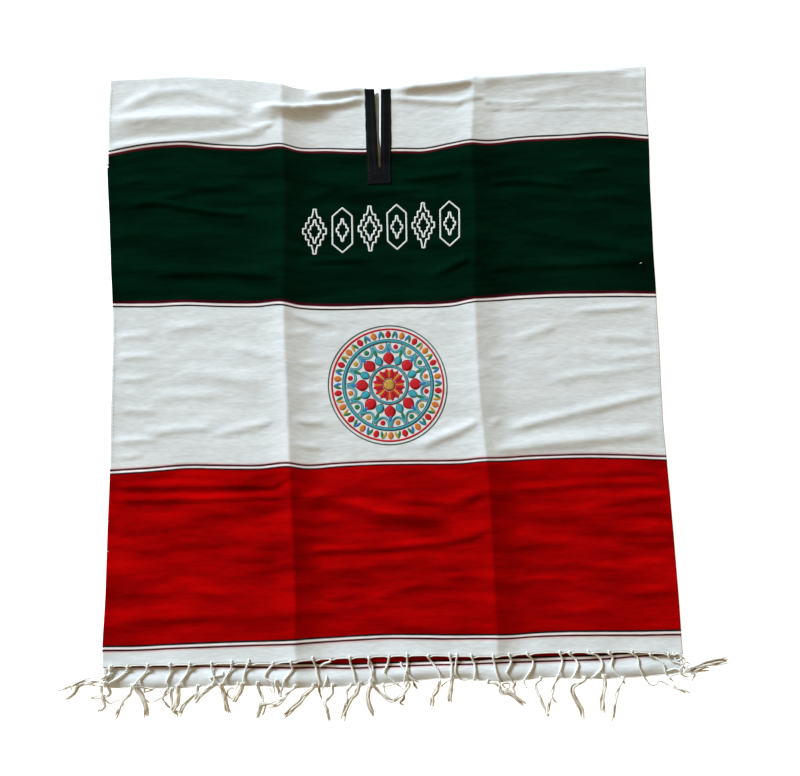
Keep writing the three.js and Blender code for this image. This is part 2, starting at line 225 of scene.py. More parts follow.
# Soft folds: rise, reach to the far side and to the near side, then the points x, y of its line
softFolds = [
    (4.5, 8, 9, -276, 477, -234, 460, -195, 469), (6, 12, 14, -233, 487, -189, 509),
    (3.5, 17, 20, -500, 493, -430, 538, -353, 539, -254, 500), (9.5, 10, 15, -127, 526, -31, 534),
    (5, 9, 12, 24, 516, 102, 507, 144, 504, 178, 514, 204, 511), (11, 8, 20, 32, 533, 174, 546),
    (10, 8, 32, 176, 549, 300, 557, 470, 561), (3, 6, 5, 175, 492, 508, 488),
    (5, 30, 50, 184, 534, 511, 542), (5, 7, 7, 193, 505, 243, 500, 303, 504),
    (4.5, 14, 14, 265, 519, 379, 530),
    (3.5, 10, 12, 385, 518, 506, 508), (5, 9, 18, 352, 551, 430, 547, 507, 549),
    (6, 12, 9, -468, 318, -428, 321, -313, 297, -250, 291),
    (4, 14, 11, -421, 326, -360, 341, -259, 353), (3.5, 14, 14, -148, 320, -90, 334),
    (5, 14, 12, 34, 353, 157, 364), (3, 8, 8, -14, 328, 77, 336),
    (5, 12, 8, 208, 344, 273, 346, 356, 335), (4, 10, 7, 365, 363, 439, 371),
    (2.5, 6, 5, 163, 229, 232, 231), (3.5, 12, 8, 194, 264, 251, 267), (3.5, 14, 10, 251, 255, 333, 236),
    (6, 14, 12, 97, 170, 169, 200), (5.5, 20, 13, -420, 182, -292, 183, -187, 169),
    (5, 24, 15, 194, 180, 367, 183, 496, 186), (5, 14, 12, -149, 201, -28, 202),
    (3.5, 20, 20, 410, 315, 498, 320), (4, 22, 22, -508, 358, -436, 364),
    (5, 24, 20, -506, 261, -414, 263), (2.5, 12, 10, -500, 65, -438, 67),
    (2.5, 12, 10, -500, 27, -431, 28), (2.5, 12, 10, -499, -15, -438, -13),
    (2, 12, 10, -499, -69, -430, -74), (3, 12, 10, -498, -127, -430, -125),
    (2, 8, 8, -498, -155, -458, -154), (2.5, 26, 22, -375, -5, -221, -27),
    (2.5, 14, 14, -444, -113, -319, -105), (2.5, 14, 12, -319, -121, -207, -98),
    (2, 14, 14, -410, 78, -319, 87), (1.5, 16, 16, -424, -46, -305, -46), (2, 14, 14, -276, 42, -196, 19),
    (4, 16, 12, -170, 101, -99, 77), (2.5, 10, 8, -179, 62, -131, 65), (2.5, 12, 10, -178, 6, -122, 6),
    (2, 10, 10, -179, -42, -123, -47), (4, 16, 14, -178, -96, -113, -105),
    (3.5, 14, 10, -179, -141, -121, -149), (4.5, 15, 15, 53, -152, 106, -132, 174, -106),
    (3.5, 16, 13, 226, -123, 326, -101, 397, -87, 504, -65), (2, 16, 14, 315, -33, 486, -14),
    (2.5, 14, 12, 255, 45, 327, 69), (3, 10, 10, 364, 93, 486, 99), (2, 14, 14, 397, 44, 496, 38),
    (2, 12, 12, 423, 3, 502, 12), (4.5, 23, 19, 189, -162, 323, -149, 493, -138),
    (2, 12, 10, 189, 9, 232, 15), (3, 12, 10, 184, -115, 213, -105),
    (6.5, 11, 10, -493, -208, -349, -211, -213, -214, -176, -199),
    (5.5, 10, 8, -492, -233, -349, -235, -234, -233, -180, -237), (2, 8, 8, -493, -185, -306, -191),
    (2.5, 12, 10, -459, -322, -399, -329), (3, 14, 10, -306, -340, -214, -347),
    (2.5, 14, 10, -370, -396, -285, -407), (2.5, 12, 12, -495, -293, -435, -288),
    (2.5, 14, 10, -490, -398, -391, -402), (2, 12, 10, -377, -310, -299, -317),
    (1.5, 14, 12, -476, -444, -307, -445), (11.5, 20, 26, -163, -242, -116, -238, -19, -267, 95, -282),
    (8, 15, 21, 10, -244, 111, -253, 166, -238), (6, 13, 12, -146, -331, -21, -331, 94, -322, 170, -308),
    (3, 10, 8, -30, -417, 56, -394), (2, 12, 12, -143, -370, -64, -363),
    (2, 12, 10, -122, -416, -58, -410), (2, 12, 10, 78, -386, 156, -385), (3, 8, 8, 374, -208, 487, -208),
    (3.5, 11, 11, 242, -235, 344, -226, 500, -227), (4, 16, 14, 363, -265, 511, -249),
    (2.5, 10, 8, 310, -309, 483, -317), (3, 12, 10, 396, -328, 500, -336),
    (2, 8, 7, 365, -375, 401, -373), (2, 10, 8, 217, -394, 306, -393),
    (2.5, 12, 10, 429, -372, 498, -370), (2.5, 14, 12, 405, -424, 498, -419),
    (2, 14, 14, 317, -456, 404, -431), (16, 9, 30, -222, 503, -160, 499, -98, 503),
    (8.5, 8, 15, -145, 500, -70, 508, -30, 517),
    (8.5, 23, 34, -510, 480, -440, 484, -350, 487, -262, 482),
    (4.5, 11, 18, -505, 430, -440, 438, -350, 443, -270, 450, -215, 458),
]


def smooth(share):
    return share * share * (3 - 2 * share)


def readTable(at, knots, values):
    # Cubic between the rows, with each row's slope taken from its neighbours, and held past the ends.
    # A table of two dimensions has a column of its own for each place that is read.
    knots = np.asarray(knots, float)
    values = np.asarray(values, float)
    low = np.maximum(np.arange(len(knots)) - 1, 0)
    high = np.minimum(np.arange(len(knots)) + 1, len(knots) - 1)
    run = (knots[high] - knots[low]).reshape((-1,) + (1,) * (values.ndim - 1))
    slopes = (values[high] - values[low]) / run
    at = np.clip(at, knots[0], knots[-1])
    i = np.clip(np.searchsorted(knots, at, side="right") - 1, 0, len(knots) - 2)
    own = (np.arange(len(at)),) if values.ndim == 2 else ()
    step = knots[i + 1] - knots[i]
    s = (at - knots[i]) / step
    start = s * (1 - s) ** 2 * slopes[(i, *own)]
    end = s * s * (s - 1) * slopes[(i + 1, *own)]
    return values[(i, *own)] * smooth(1 - s) + values[(i + 1, *own)] * smooth(s) + step * (start + end)


def drift(u, y):
    # Sideways shift of a flat point, shared out between the side edges, the creases and the slit
    half = cloth["halfWidth"]
    stations = [(-half, "left"), (cloth["creaseA"], "a"), (slit["middle"], None), (cloth["creaseB"], "b"),
                (half, "right")]
    pulls = [readTable(y, downward["y"], downward[line]) - at if line else np.zeros_like(y)
             for at, line in stations]
    held = np.clip(u, -half, half)
    shift = np.zeros_like(held)
    for k in range(len(stations) - 1):
        share = (held - stations[k][0]) / (stations[k + 1][0] - stations[k][0])
        here = (share >= 0) & (share <= 1)
        shift = np.where(here, pulls[k] * (1 - share) + pulls[k + 1] * share, shift)
    return shift


def flatAcross(x, y):
    # The flat point that drift brings to x
    u = x - drift(x, y)
    return x - drift(u, y)


def tents(u, y, climb):
    # A crease climbs from the left as the square of what is left of its reach, and to the right it falls
    # off more evenly.
    height = np.zeros_like(u)
    for line, rise in (("creaseA", "riseA"), ("creaseB", "riseB")):
        offset = u - cloth[line]
        left = np.clip(1 + offset / climb, 0, 1) ** 2
        right = np.clip(1 - offset / cloth["rightFlank"], 0, 1) ** 1.5
        height += readTable(y, downward["y"], downward[rise]) * np.where(offset < 0, left, right)
    return height


def creased(u, y, folds):
    # The creases' own ridges join the folds, and both stand on the slow climb to each crease.
    share = cloth["climbShare"]
    ridge = (1 - share) * tents(u, y, cloth["leftFlank"])
    return np.cbrt(ridge**3 + folds**3) + share * tents(u, y, cloth["climb"])


# The form of a soft fold
foldForm = {
    "fade": 0.8,
    "edge": 2,
    "shoulder": 1.2,
    "broadFrom": 16,
    "broadRun": 20,
    "straighter": 0.9,
}


def ridges(u, y, table):
    # Each follows a line of points. It has a slight edge along the line and runs out flat on both sides,
    # straighter where it is broad, and it fades towards both ends. Crossing folds join as the cube root
    # of the sum of their cubes, so that they don't stack up.
    total = np.zeros_like(u)
    for rise, farReach, nearReach, *line in table:
        line = np.reshape(line, (-1, 2))
        nearest = np.full_like(u, np.inf)
        along, aside, passed = nearest.copy(), nearest.copy(), 0
        for k, (start, end) in enumerate(zip(line[:-1], line[1:])):
            length = np.hypot(*(end - start))
            ux, uy = (end - start) / length
            ahead = (u - start[0]) * ux + (y - start[1]) * uy
            side = (y - start[1]) * ux - (u - start[0]) * uy
            before = -ahead if k > 0 else 0
            beyond = ahead - length if k < len(line) - 2 else 0
            gap = np.hypot(np.maximum(np.maximum(before, beyond), 0), side)
            closer = gap < nearest
            nearest = np.where(closer, gap, nearest)
            along = np.where(closer, passed + ahead, along)
            aside = np.where(closer, side, aside)
            passed += length
        run = min(foldForm["fade"] * (farReach + nearReach), 0.5 * passed)
        fade = smooth(np.clip((np.minimum(along, passed - along) / run + 0.6) / 1.6, 0, 1))
        reach = np.where(aside > 0, farReach, nearReach)
        broad = np.clip((reach - foldForm["broadFrom"]) / foldForm["broadRun"], 0, 1)
        away = np.clip(nearest / reach, 0, 1)
        falling = (1 - away) ** (foldForm["edge"] - foldForm["straighter"] * broad)
        total += (rise * fade * falling * (1 + foldForm["shoulder"] * away * (1 - broad))) ** 3
    return np.cbrt(total)


def neckStand(u, y):
    beside = np.maximum(np.abs(u - slit["middle"]) - neck["half"], 0)
    below = np.maximum(neck["low"] - y, 0)
    return neck["lift"] * smooth(np.clip(1 - np.hypot(beside, below) / neck["ease"], 0, 1))


def swells(u, y, seed, lengths, count):
    # A sum of plane waves with lengths and directions drawn from a seeded table, from 0 to 1
    draw = np.random.default_rng(seed)
    total = np.zeros_like(u)
    for wave in draw.uniform(lengths[0], lengths[1], count):
        heading = draw.normal(np.pi / 2, 0.5)
        phase = draw.uniform(0, 2 * np.pi)
        total += np.sin(2 * np.pi * (u * np.cos(heading) + y * np.sin(heading)) / wave + phase)
    return 0.5 + 0.5 * np.clip(total / (1.7 * np.sqrt(count)), -1, 1)


broadFolds = [row for row in softFolds if min(row[1:3]) >= 14 and row[0] < 9]
undulation = {"rise": 1.6, "lengths": (70, 190), "count": 14, "seed": 5}


def frontLift(u, y):
    # How far the front's underside stands over its place on the flat back
    folded = creased(u, y, ridges(u, y, softFolds))
    rolling = swells(u, y, undulation["seed"], undulation["lengths"], undulation["count"])
    low = readTable(u, across["x"], across["front"])
    nearHem = np.clip(1 - (y - low) / hem["reach"], 0, 1) ** 2
    uneven = 0.6 + 0.4 * np.sin(u / 61 + 1.3) * np.sin(u / 23)
    lip = np.clip(1 - np.abs(u - slit["middle"]) / slit["riseReach"], 0, 1)
    lip = smooth(lip * np.clip((y - slit["riseFrom"]) / slit["riseRun"], 0, 1))
    stand = neckStand(u, y) + slit["rise"] * lip
    return folded + stand + undulation["rise"] * rolling + hem["rise"] * nearHem * uneven


def backLift(u, y):
    folded = creased(u, y, cloth["backShare"] * ridges(u, y, broadFolds))
    low = readTable(u, across["x"], across["back"])
    away = np.clip(np.abs(y - low - hem["rollAt"]) / hem["rollReach"], 0, 1)
    uneven = 0.8 + 0.22 * np.sin(u / 47) + 0.16 * np.sin(u / 17 + 1)
    return folded + neckStand(u, y) + hem["roll"] * uneven * (1 - away**2) ** 2


def hemPull(u):
    # How far the front hem is drawn down at each tie, and up between them
    away = np.min(np.abs(np.ravel(u)[:, None] - np.array(tieRoots)), axis=1).reshape(np.shape(u))
    return hem["pull"] * (np.clip(1 - (away / hem["pullReach"]) ** 2, 0, 1) ** 2 - hem["held"])


def planDown(u, d):
    # Where a distance along the cloth comes to lie, read between the lines across it
    lines = {name: readTable(u, across["x"], across[name]) for name in across if name != "x"}
    besideSlit = np.clip(np.abs(u - slit["middle"]) / slit["dipReach"], 0, 1)
    fold = lines["fold"] - foldRadius - slit["dip"] * (1 - besideSlit**2) ** 2
    frontKnots = [0, *bands["group"], bands["front"]]
    frontRows = [fold, *(lines[name] for name in ("group1", "group2", "group3", "group4", "front"))]
    backKnots = [0, bands["group"][3] + bands["backShift"], bands["back"]]
    backRows = [fold, lines["backGroup"], lines["back"]]
    front = readTable(np.maximum(d, 0), frontKnots, np.array(frontRows))
    front = front - hemPull(u) * np.clip((d - bands["front"]) / hem["pullReach"] + 1, 0, 1)
    back = readTable(np.maximum(-d, 0), backKnots, np.array(backRows))
    return np.where(d >= 0, front, back)


def slitEdges(d):
    toEnd = np.clip(np.abs(d) / slit["down"], 0, 1)
    half = slit["halfAtFold"] + (slit["halfAtEnd"] - slit["halfAtFold"]) * toEnd
    under = np.clip(-d / slit["shiftRun"], 0, 1)
    middle = slit["middle"] - slit["shift"] * under
    half = half * (1 - under) + slit["shut"] * under
    return middle - half, middle + half - bareEdge(d)


def bareEdge(d):
    # How far the cloth shows past the tape on the front, along the slit's right side
    run = np.clip((slit["bareTo"] - d) / slit["bareRun"], 0, 1)
    return slit["bareEdge"] * run * np.clip(1 + d / slit["bareStart"], 0, 1)


def clothPoints(u, d, out):
    # A point of the garment, out above the outer skin. Round the fold the cloth turns through half a circle.
    turn = np.clip(d / foldRadius, -np.pi / 2, np.pi / 2)
    bent = foldRadius * np.pi / 2
    straight = np.sign(d) * np.maximum(np.abs(d) - bent, 0)
    y = planDown(u, straight)
    share = 0.5 + 0.5 * np.sin(turn)
    lift = backLift(u, y) * (1 - share) + frontLift(u, y) * share
    peek = cloth["peek"] * np.clip(1 - np.abs(y - cloth["peekAt"]) / cloth["peekReach"], 0, 1)
    peek = peek * np.clip(1 - (u + cloth["halfWidth"]) / cloth["peekWidth"], 0, 1)
    x = u + drift(u, y) - peek * (1 - share)
    radius = foldRadius + out
    return np.stack([x, y + radius * np.cos(turn), foldRadius + radius * np.sin(turn) + lift], -1)


def onFront(u, y, out):
    # A point over the front's outer skin, by its place on the plan
    return np.stack([u + drift(u, y), y, 2 * foldRadius + frontLift(u, y) + out], -1)


def putMesh(name, points, faceSets, uvs=None, colours=None):
    # Millimetre points and arrays of faces, quads or triangles, as one smooth object at the origin
    sets = [np.asarray(faces, np.int32) for faces in faceSets if len(faces)]
    corners = np.concatenate([faces.ravel() for faces in sets])
    sizes = np.concatenate([np.full(len(faces), faces.shape[1], np.int32) for faces in sets])
    mesh = bpy.data.meshes.new(name)
    mesh.vertices.add(len(points))
    mesh.vertices.foreach_set("co", (np.asarray(points) * mm).astype(np.float32).ravel())
    mesh.loops.add(len(corners))
    mesh.loops.foreach_set("vertex_index", corners)
    mesh.polygons.add(len(sizes))
    mesh.polygons.foreach_set("loop_start", (np.cumsum(sizes) - sizes).astype(np.int32))
    mesh.update(calc_edges=True)
    mesh.polygons.foreach_set("use_smooth", np.ones(len(sizes), bool))
    if uvs is not None:
        layer = mesh.uv_layers.new(name="weave")
        layer.data.foreach_set("uv", np.asarray(uvs, np.float32)[corners].ravel())
    if colours is not None:
        layer = mesh.color_attributes.new("thread", "FLOAT_COLOR", "POINT")
        layer.data.foreach_set("color", np.asarray(colours, np.float32).ravel())
    piece = bpy.data.objects.new(name, mesh)
    bpy.context.collection.objects.link(piece)
    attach(piece, "root")
    return piece


def shell(outer, inner, kept):
    # A closed sheet from two grids of points: both skins, and a wall along every edge of the kept cells
    tall, wide = outer.shape[:2]
    points = np.concatenate([outer.reshape(-1, 3), inner.reshape(-1, 3)])
    index = np.arange(tall * wide).reshape(tall, wide)
    under = tall * wide
    a, b = index[:-1, :-1], index[1:, :-1]
    c, d = index[1:, 1:], index[:-1, 1:]
    top = np.stack([a, b, c, d], -1)[kept]
    low = np.stack([a, d, c, b], -1)[kept] + under
    framed = np.pad(kept, 1)
    faces = [top, low]
    steps = [
        ((a, b), framed[1:-1, :-2]),
        ((b, c), framed[2:, 1:-1]),
        ((c, d), framed[1:-1, 2:]),
        ((d, a), framed[:-2, 1:-1]),
    ]
    for (p, q), beyond in steps:
        rim = kept & ~beyond
        faces.append(np.stack([q, p, p + under, q + under], -1)[rim])
    return points, np.concatenate(faces)


def outsideSlit(u, d):
    # The cells of a grid that aren't in the head slit
    midU, midD = (u[:-1, :-1] + u[1:, 1:]) / 2, (d[:-1, :-1] + d[1:, 1:]) / 2
    return (np.abs(midU - slit["middle"]) >= slit["halfAtFold"] - 1) | (np.abs(midD) >= slit["down"])


def weaveUvs(u, d):
    return np.tile(np.stack([u.ravel(), d.ravel()], -1) * mm, (2, 1))


def spaced(stations, step):
    # Even steps of about one size between each pair of stations
    runs = [np.linspace(p, q, max(int(round((q - p) / step)), 1) + 1)[:-1]
            for p, q in zip(stations[:-1], stations[1:])]
    return np.concatenate([*runs, [stations[-1]]])


# Steps of the cloth's grid, and how far the fine columns go beside each crease
grid = {
    "column": 9.0,
    "creaseColumn": 3.7,
    "beforeCrease": 34,
    "pastCrease": 42,
    "besideSlit": 24,
    "row": 4.5,
    "backRow": 15,
    "hemRow": 4,
    "hemStrip": 76,
    "border": 6,
    "swell": 0.45,  # the front's edges are thickened by this, and pinched in at the rim
}


def makeCloth():
    half, mid, down = cloth["halfWidth"], slit["middle"], slit["down"]
    front, back, border = bands["front"], bands["back"], grid["border"]
    slitLeft, slitRight = mid - slit["halfAtFold"], mid + slit["halfAtFold"]
    creases = [(line - grid["beforeCrease"], line, line + grid["pastCrease"])
               for line in (cloth["creaseA"], cloth["creaseB"])]
    edge = np.array([0, 1, 3])
    columns = np.concatenate([
        edge - half,
        spaced([border - half, creases[0][0]], grid["column"])[:-1],
        spaced(creases[0], grid["creaseColumn"])[:-1],
        spaced([creases[0][2], mid - grid["besideSlit"], slitLeft], grid["column"]),
        spaced([slitRight, mid + grid["besideSlit"], creases[1][0]], grid["column"])[:-1],
        spaced(creases[1], grid["creaseColumn"])[:-1],
        spaced([creases[1][2], half - border], grid["column"]),
        half - edge[::-1],
    ])
    bent = foldRadius * np.pi / 2
    backRows = np.concatenate([
        spaced([bent, down, back - grid["hemStrip"]], grid["backRow"])[:-1],
        spaced([back - grid["hemStrip"], back - border], grid["hemRow"]),
    ])
    rows = np.concatenate([
        edge - back,
        -backRows[::-1],
        np.linspace(-bent, bent, 9)[1:-1],
        spaced([bent, down, front - border], grid["row"]),
        front - edge[::-1],
    ])
    u, d = np.meshgrid(columns, rows)
    fromEdge = np.minimum(half - np.abs(u), np.where(d > 0, front - d, back + d))
    swell = grid["swell"] * np.exp(-(((fromEdge - 2.2) / 2.4) ** 2)) * (d > 0)
    pinch = grid["swell"] * np.clip(1 - fromEdge / 1.2, 0, 1)
    edges = slitEdges(d)
    moved = np.where(np.isclose(u, slitLeft), edges[0], u)
    moved = np.where(np.isclose(u, slitRight), edges[1], moved)
    moved = np.where(np.abs(d) < down + 1, moved, u)
    flat = moved.ravel(), d.ravel()
    outer = clothPoints(*flat, (swell - pinch).ravel()).reshape(*u.shape, 3)
    inner = clothPoints(*flat, (pinch - cloth["wall"]).ravel()).reshape(*u.shape, 3)
    points, faces = shell(outer, inner, outsideSlit(u, d))
    piece = putMesh("woven_cloth_shell", points, [faces], weaveUvs(u, d))
    print("cloth:", u.shape, len(faces), "faces")
    return piece


poncho = makeCloth()
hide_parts("woven_shoulder_left", "woven_shoulder_right", "woven_front", "woven_back")


# Colours of the yarns, as linear light
yarn = {
    "white": (0.77, 0.775, 0.76),
    "blush": (0.95, 0.82, 0.79),
    "pink": (0.76, 0.55, 0.54),
    "black": (0.007, 0.007, 0.009),
    "dusk": (0.050, 0.003, 0.008),
    "maroon": (0.085, 0.005, 0.010),
    "green": (0.0008, 0.0112, 0.0054),
    "red": (0.355, 0.0008, 0.0010),
}

# The stripe groups, by where each starts below the fold, and where each colour starts within it
stripeGroups = [
    (120, [(0, "white"), (5.2, "black"), (8.5, "blush"), (11.9, "maroon"), (16.2, "green")]),
    (427, [(0, "green"), (2.2, "dusk"), (7.6, "blush"), (11.7, "black"), (15.0, "white")]),
    (734, [(0, "white"), (2.0, "pink"), (4.5, "dusk"), (8.1, "blush"), (11.4, "black"), (14.4, "red")]),
    (1041, [(0, "red"), (4.2, "black"), (7.7, "blush"), (11.3, "dusk"), (14.9, "pink"), (17.5, "white")]),
]
stripeReach = 24


def node(tree, kind, given, **settings):
    # The outputs of a new shader node, once its settings are made and each input is set or linked
    made = tree.nodes.new("ShaderNode" + kind)
    for setting, value in settings.items():
        setattr(made, setting, value)
    for label, value in given.items():
        if isinstance(value, bpy.types.NodeSocket):
            tree.links.new(value, made.inputs[label])
        else:
            made.inputs[label].default_value = value
    return made.outputs


def math(tree, operation, *values):
    return node(tree, "Math", dict(enumerate(values)), operation=operation)[0]


def scaled(tree, colour, share):
    return node(tree, "VectorMath", {0: colour, "Scale": share}, operation="SCALE")[0]


def speckle(tree, place, scale, detail):
    # Noise with its own scale across the cloth and along it
    stretched = node(tree, "Mapping", {"Vector": place, "Scale": (*scale, 1)})[0]
    return node(tree, "TexNoise", {"Vector": stretched, "Scale": 1, "Detail": detail})[0]


def stretch(tree, value, low, high):
    # The middle of a noise's range, brought to low and high
    given = {"From Min": 0.3, "From Max": 0.7, "To Min": low, "To Max": high, "Value": value}
    return node(tree, "MapRange", given)[0]


def weaveGroup():
    # Plain weave: threads over and under each other, with thick and thin places along the weft
    group = bpy.data.node_groups.new("plainWeave", "ShaderNodeTree")
    for label, kind in (("Place", "NodeSocketVector"), ("Thread", "NodeSocketFloat")):
        group.interface.new_socket(label, in_out="INPUT", socket_type=kind)
    given = group.nodes.new("NodeGroupInput").outputs
    split = node(group, "SeparateXYZ", {0: given["Place"]})
    waves = []
    for place in (split["X"], split["Y"]):
        phase = math(group, "MULTIPLY", math(group, "MULTIPLY", place, 1 / mm), np.pi)
        waves.append(math(group, "SINE", math(group, "DIVIDE", phase, given["Thread"])))
    crossing = math(group, "MULTIPLY", *waves)
    slub = speckle(group, given["Place"], (60, 260), 4)
    made = {
        "Height": math(group, "ADD", math(group, "MULTIPLY", crossing, 0.35), slub),
        "Slub": slub,
        "Cloud": speckle(group, given["Place"], (7, 38), 5),
        "Crumple": speckle(group, given["Place"], (24, 46), 3),
    }
    for label in made:
        group.interface.new_socket(label, in_out="OUTPUT", socket_type="NodeSocketFloat")
    end = group.nodes.new("NodeGroupOutput")
    for label, output in made.items():
        group.links.new(output, end.inputs[label])
    return group


weave = weaveGroup()


def newMaterial(name, roughness, specular=0.0, sheen=0.0):
    material = bpy.data.materials.new(name)
    material.use_nodes = True
    shader = material.node_tree.nodes["Principled BSDF"]
    shader.inputs["Roughness"].default_value = roughness
    shader.inputs["Specular IOR Level"].default_value = specular
    shader.inputs["Sheen Weight"].default_value = sheen
    return material, material.node_tree, shader


def finish(tree, shader, colour, height, strength, distance):
    bump = node(tree, "Bump", {"Strength": strength, "Distance": distance, "Height": height})
    tree.links.new(colour, shader.inputs["Base Color"])
    tree.links.new(bump[0], shader.inputs["Normal"])


def ownPlace(tree):
    return node(tree, "UVMap", {}, uv_map="weave")[0]


def stripeRamp(tree, within, marks):
    # The colours of one stripe group, as steps of a ramp over its reach
    ramp = tree.nodes.new("ShaderNodeValToRGB")
    ramp.color_ramp.interpolation = "CONSTANT"
    stops = ramp.color_ramp.elements
    for offset, colour in marks:
        stop = stops[0] if offset == 0 else stops.new(offset / stripeReach)
        stop.color = (*yarn[colour], 1)
    stops.remove(stops[-1])
    tree.links.new(within, ramp.inputs[0])
    return ramp.outputs[0]


# The cloth's look. The tooth is the sawtooth of interlocking yarns, and the pairs are the least and most of
# the cloth's own lightness.
look = {
    "thread": 1.7,
    "tooth": 1.9,
    "toothShare": 0.8,
    "wander": 4,
    "dyedCloud": (0.58, 1.5),
    "paleCloud": (0.96, 1.03),
    "slub": (0.91, 1.06),
    "relief": 0.14,
    "bump": 0.6,
    "bumpDepth": 3.0,
}


def clothMaterial():
    material, tree, shader = newMaterial("bandedWeave", 0.95)
    place = ownPlace(tree)
    threads = node(tree, "Group", {"Place": place, "Thread": look["thread"]}, node_tree=weave)
    split = node(tree, "SeparateXYZ", {0: place})
    onBack = math(tree, "LESS_THAN", split["Y"], 0)
    shifted = math(tree, "MULTIPLY", onBack, bands["backShift"] * mm)
    down = math(tree, "SUBTRACT", math(tree, "ABSOLUTE", split["Y"]), shifted)
    # The yarns interlock at each colour change, so its edge is a fine sawtooth, and it wanders a little.
    tooth = math(tree, "PINGPONG", split["X"], look["tooth"] * mm)
    tooth = math(tree, "SUBTRACT", tooth, look["tooth"] / 2 * mm)
    wander = math(tree, "MULTIPLY", math(tree, "SUBTRACT", threads["Cloud"], 0.5), look["wander"] * mm)
    edge = math(tree, "ADD", down, math(tree, "MULTIPLY", tooth, look["toothShare"]))
    edge = math(tree, "ADD", edge, wander)
    banded = (*yarn["white"], 1)
    for start, marks in stripeGroups:
        within = math(tree, "DIVIDE", math(tree, "SUBTRACT", edge, start * mm), stripeReach * mm)
        past = math(tree, "GREATER_THAN", edge, start * mm)
        colours = stripeRamp(tree, within, marks)
        banded = node(tree, "Mix", {0: past, 6: banded, 7: colours}, data_type="RGBA")[2]
    # The dyed bands are cloudier than the white ones.
    paleness = math(tree, "MULTIPLY", node(tree, "SeparateColor", {0: banded})[1], 1.2)
    dyed = stretch(tree, threads["Cloud"], *look["dyedCloud"])
    pale = stretch(tree, threads["Cloud"], *look["paleCloud"])
    cloudy = node(tree, "Mix", {0: paleness, 2: dyed, 3: pale})[0]
    tone = math(tree, "MULTIPLY", stretch(tree, threads["Slub"], *look["slub"]), cloudy)
    relief = math(tree, "MULTIPLY", threads["Height"], look["relief"])
    relief = math(tree, "ADD", relief, threads["Crumple"])
    finish(tree, shader, scaled(tree, banded, tone), relief, look["bump"], look["bumpDepth"] * mm)
    return material


poncho.data.materials.append(clothMaterial())
print("cloth finished")


# The neck tape, laid over the slit's edges, over the fold and under the back, drawn in towards its ends
tape = {
    "half": 24,
    "thick": 1.0,
    "gap": 0.15,
    "down": 198,
    "row": 3.0,
    "pucker": 0.35,
    "soft": 6,
    "narrowing": 0.085,
    "narrowFrom": 110,
    "narrowRun": 60,
    "lean": 0.7,
    "colour": (0.0052, 0.0056, 0.0060),
}


def makeTape():
    mid, half, down = slit["middle"], tape["half"], slit["down"]
    left, right = mid - slit["halfAtFold"], mid + slit["halfAtFold"]
    columns = np.concatenate([
        mid - half + np.array([0, 0.8, 2]),
        np.linspace(mid - half + 5, left - 2, 4),
        [left - 0.8, left, right, right + 0.8],
        np.linspace(right + 2, mid + half - 5, 4),
        mid + half - np.array([2, 0.8, 0]),
    ])
    u, d = np.meshgrid(columns, spaced([-tape["down"], -down, -4, 0, 4, down, tape["down"]], tape["row"]))
    edges = slitEdges(d)
    fromSlit = np.minimum(np.abs(u - left), np.abs(u - right))
    inward = np.clip(1 - fromSlit / tape["soft"], 0, 1)
    slitSide = np.where(u < mid, edges[0] - left, edges[1] + bareEdge(d) - right)
    moved = np.where(np.abs(d) < down + 1, u + inward * slitSide, u)
    wave = tape["pucker"] * np.sin(d / 4.6 + np.where(u < mid, 0, 1.9)) * np.sin(d / 17)
    wave = wave * np.clip((np.abs(u - mid) - half) / tape["soft"] + 1, 0, 1) * np.sign(u - mid)
    drawn = np.clip((np.abs(d) - tape["narrowFrom"]) / tape["narrowRun"], 0, 1)
    moved = mid + (moved - mid) * (1 - tape["narrowing"] * drawn) - tape["lean"] * drawn + wave
    near = np.minimum(half - np.abs(u - mid), tape["down"] - np.abs(d))
    near = np.minimum(near, np.where(np.abs(d) < down, fromSlit, 9))
    top = tape["gap"] + tape["thick"] * (0.55 + 0.45 * np.clip(near / 0.8, 0, 1))
    flat = moved.ravel(), d.ravel()
    outer = clothPoints(*flat, top.ravel()).reshape(*u.shape, 3)
    inner = clothPoints(*flat, np.full(u.size, tape["gap"])).reshape(*u.shape, 3)
    points, faces = shell(outer, inner, outsideSlit(u, d))
    return putMesh("neck_tape_woven", points, [faces], weaveUvs(u, d))


def tapeMaterial():
    material, tree, shader = newMaterial("blackTape", 0.85, 0.04, 0.01)
    threads = node(tree, "Group", {"Place": ownPlace(tree), "Thread": 0.9}, node_tree=weave)
    colour = scaled(tree, tape["colour"], stretch(tree, threads["Cloud"], 0.5, 1.7))
    finish(tree, shader, colour, threads["Height"], 0.4, 0.0005)
    return material


neckTape = makeTape()
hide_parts("neck_tape")
neckTape.data.materials.append(tapeMaterial())
print("neck tape made")


# Embroidery. Every stitched line and patch lies on the cloth's own surface.
stitching = {"line": 0.7, "patch": 0.45, "patchRim": 0.12, "sunk": 0.3, "step": 1.3}

thread = {
    "white": (0.80, 0.80, 0.78),
    "red": (0.56, 0.012, 0.020),
    "darkRed": (0.24, 0.008, 0.016),
    "turquoise": (0.045, 0.36, 0.42),
    "paleTurquoise": (0.36, 0.66, 0.68),
    "navy": (0.012, 0.035, 0.060),
    "green": (0.035, 0.20, 0.075),
    "darkGreen": (0.020, 0.085, 0.055),
    "ochre": (0.56, 0.33, 0.06),
    "orange": (0.62, 0.19, 0.035),
    "blue": (0.05, 0.20, 0.45),
    "pink": (0.76, 0.42, 0.42),
    "grey": (0.42, 0.42, 0.41),
    "tapeThread": (0.024, 0.026, 0.030),
}


def runLengths(way):
    return np.concatenate([[0], np.cumsum(np.hypot(*np.diff(way, axis=0).T))])


def toLeft(ahead):
    # The unit vectors to the left of the given directions on the plan
    ahead = ahead / np.hypot(*ahead.T)[:, None]
    return np.stack([-ahead[:, 1], ahead[:, 0]], -1)


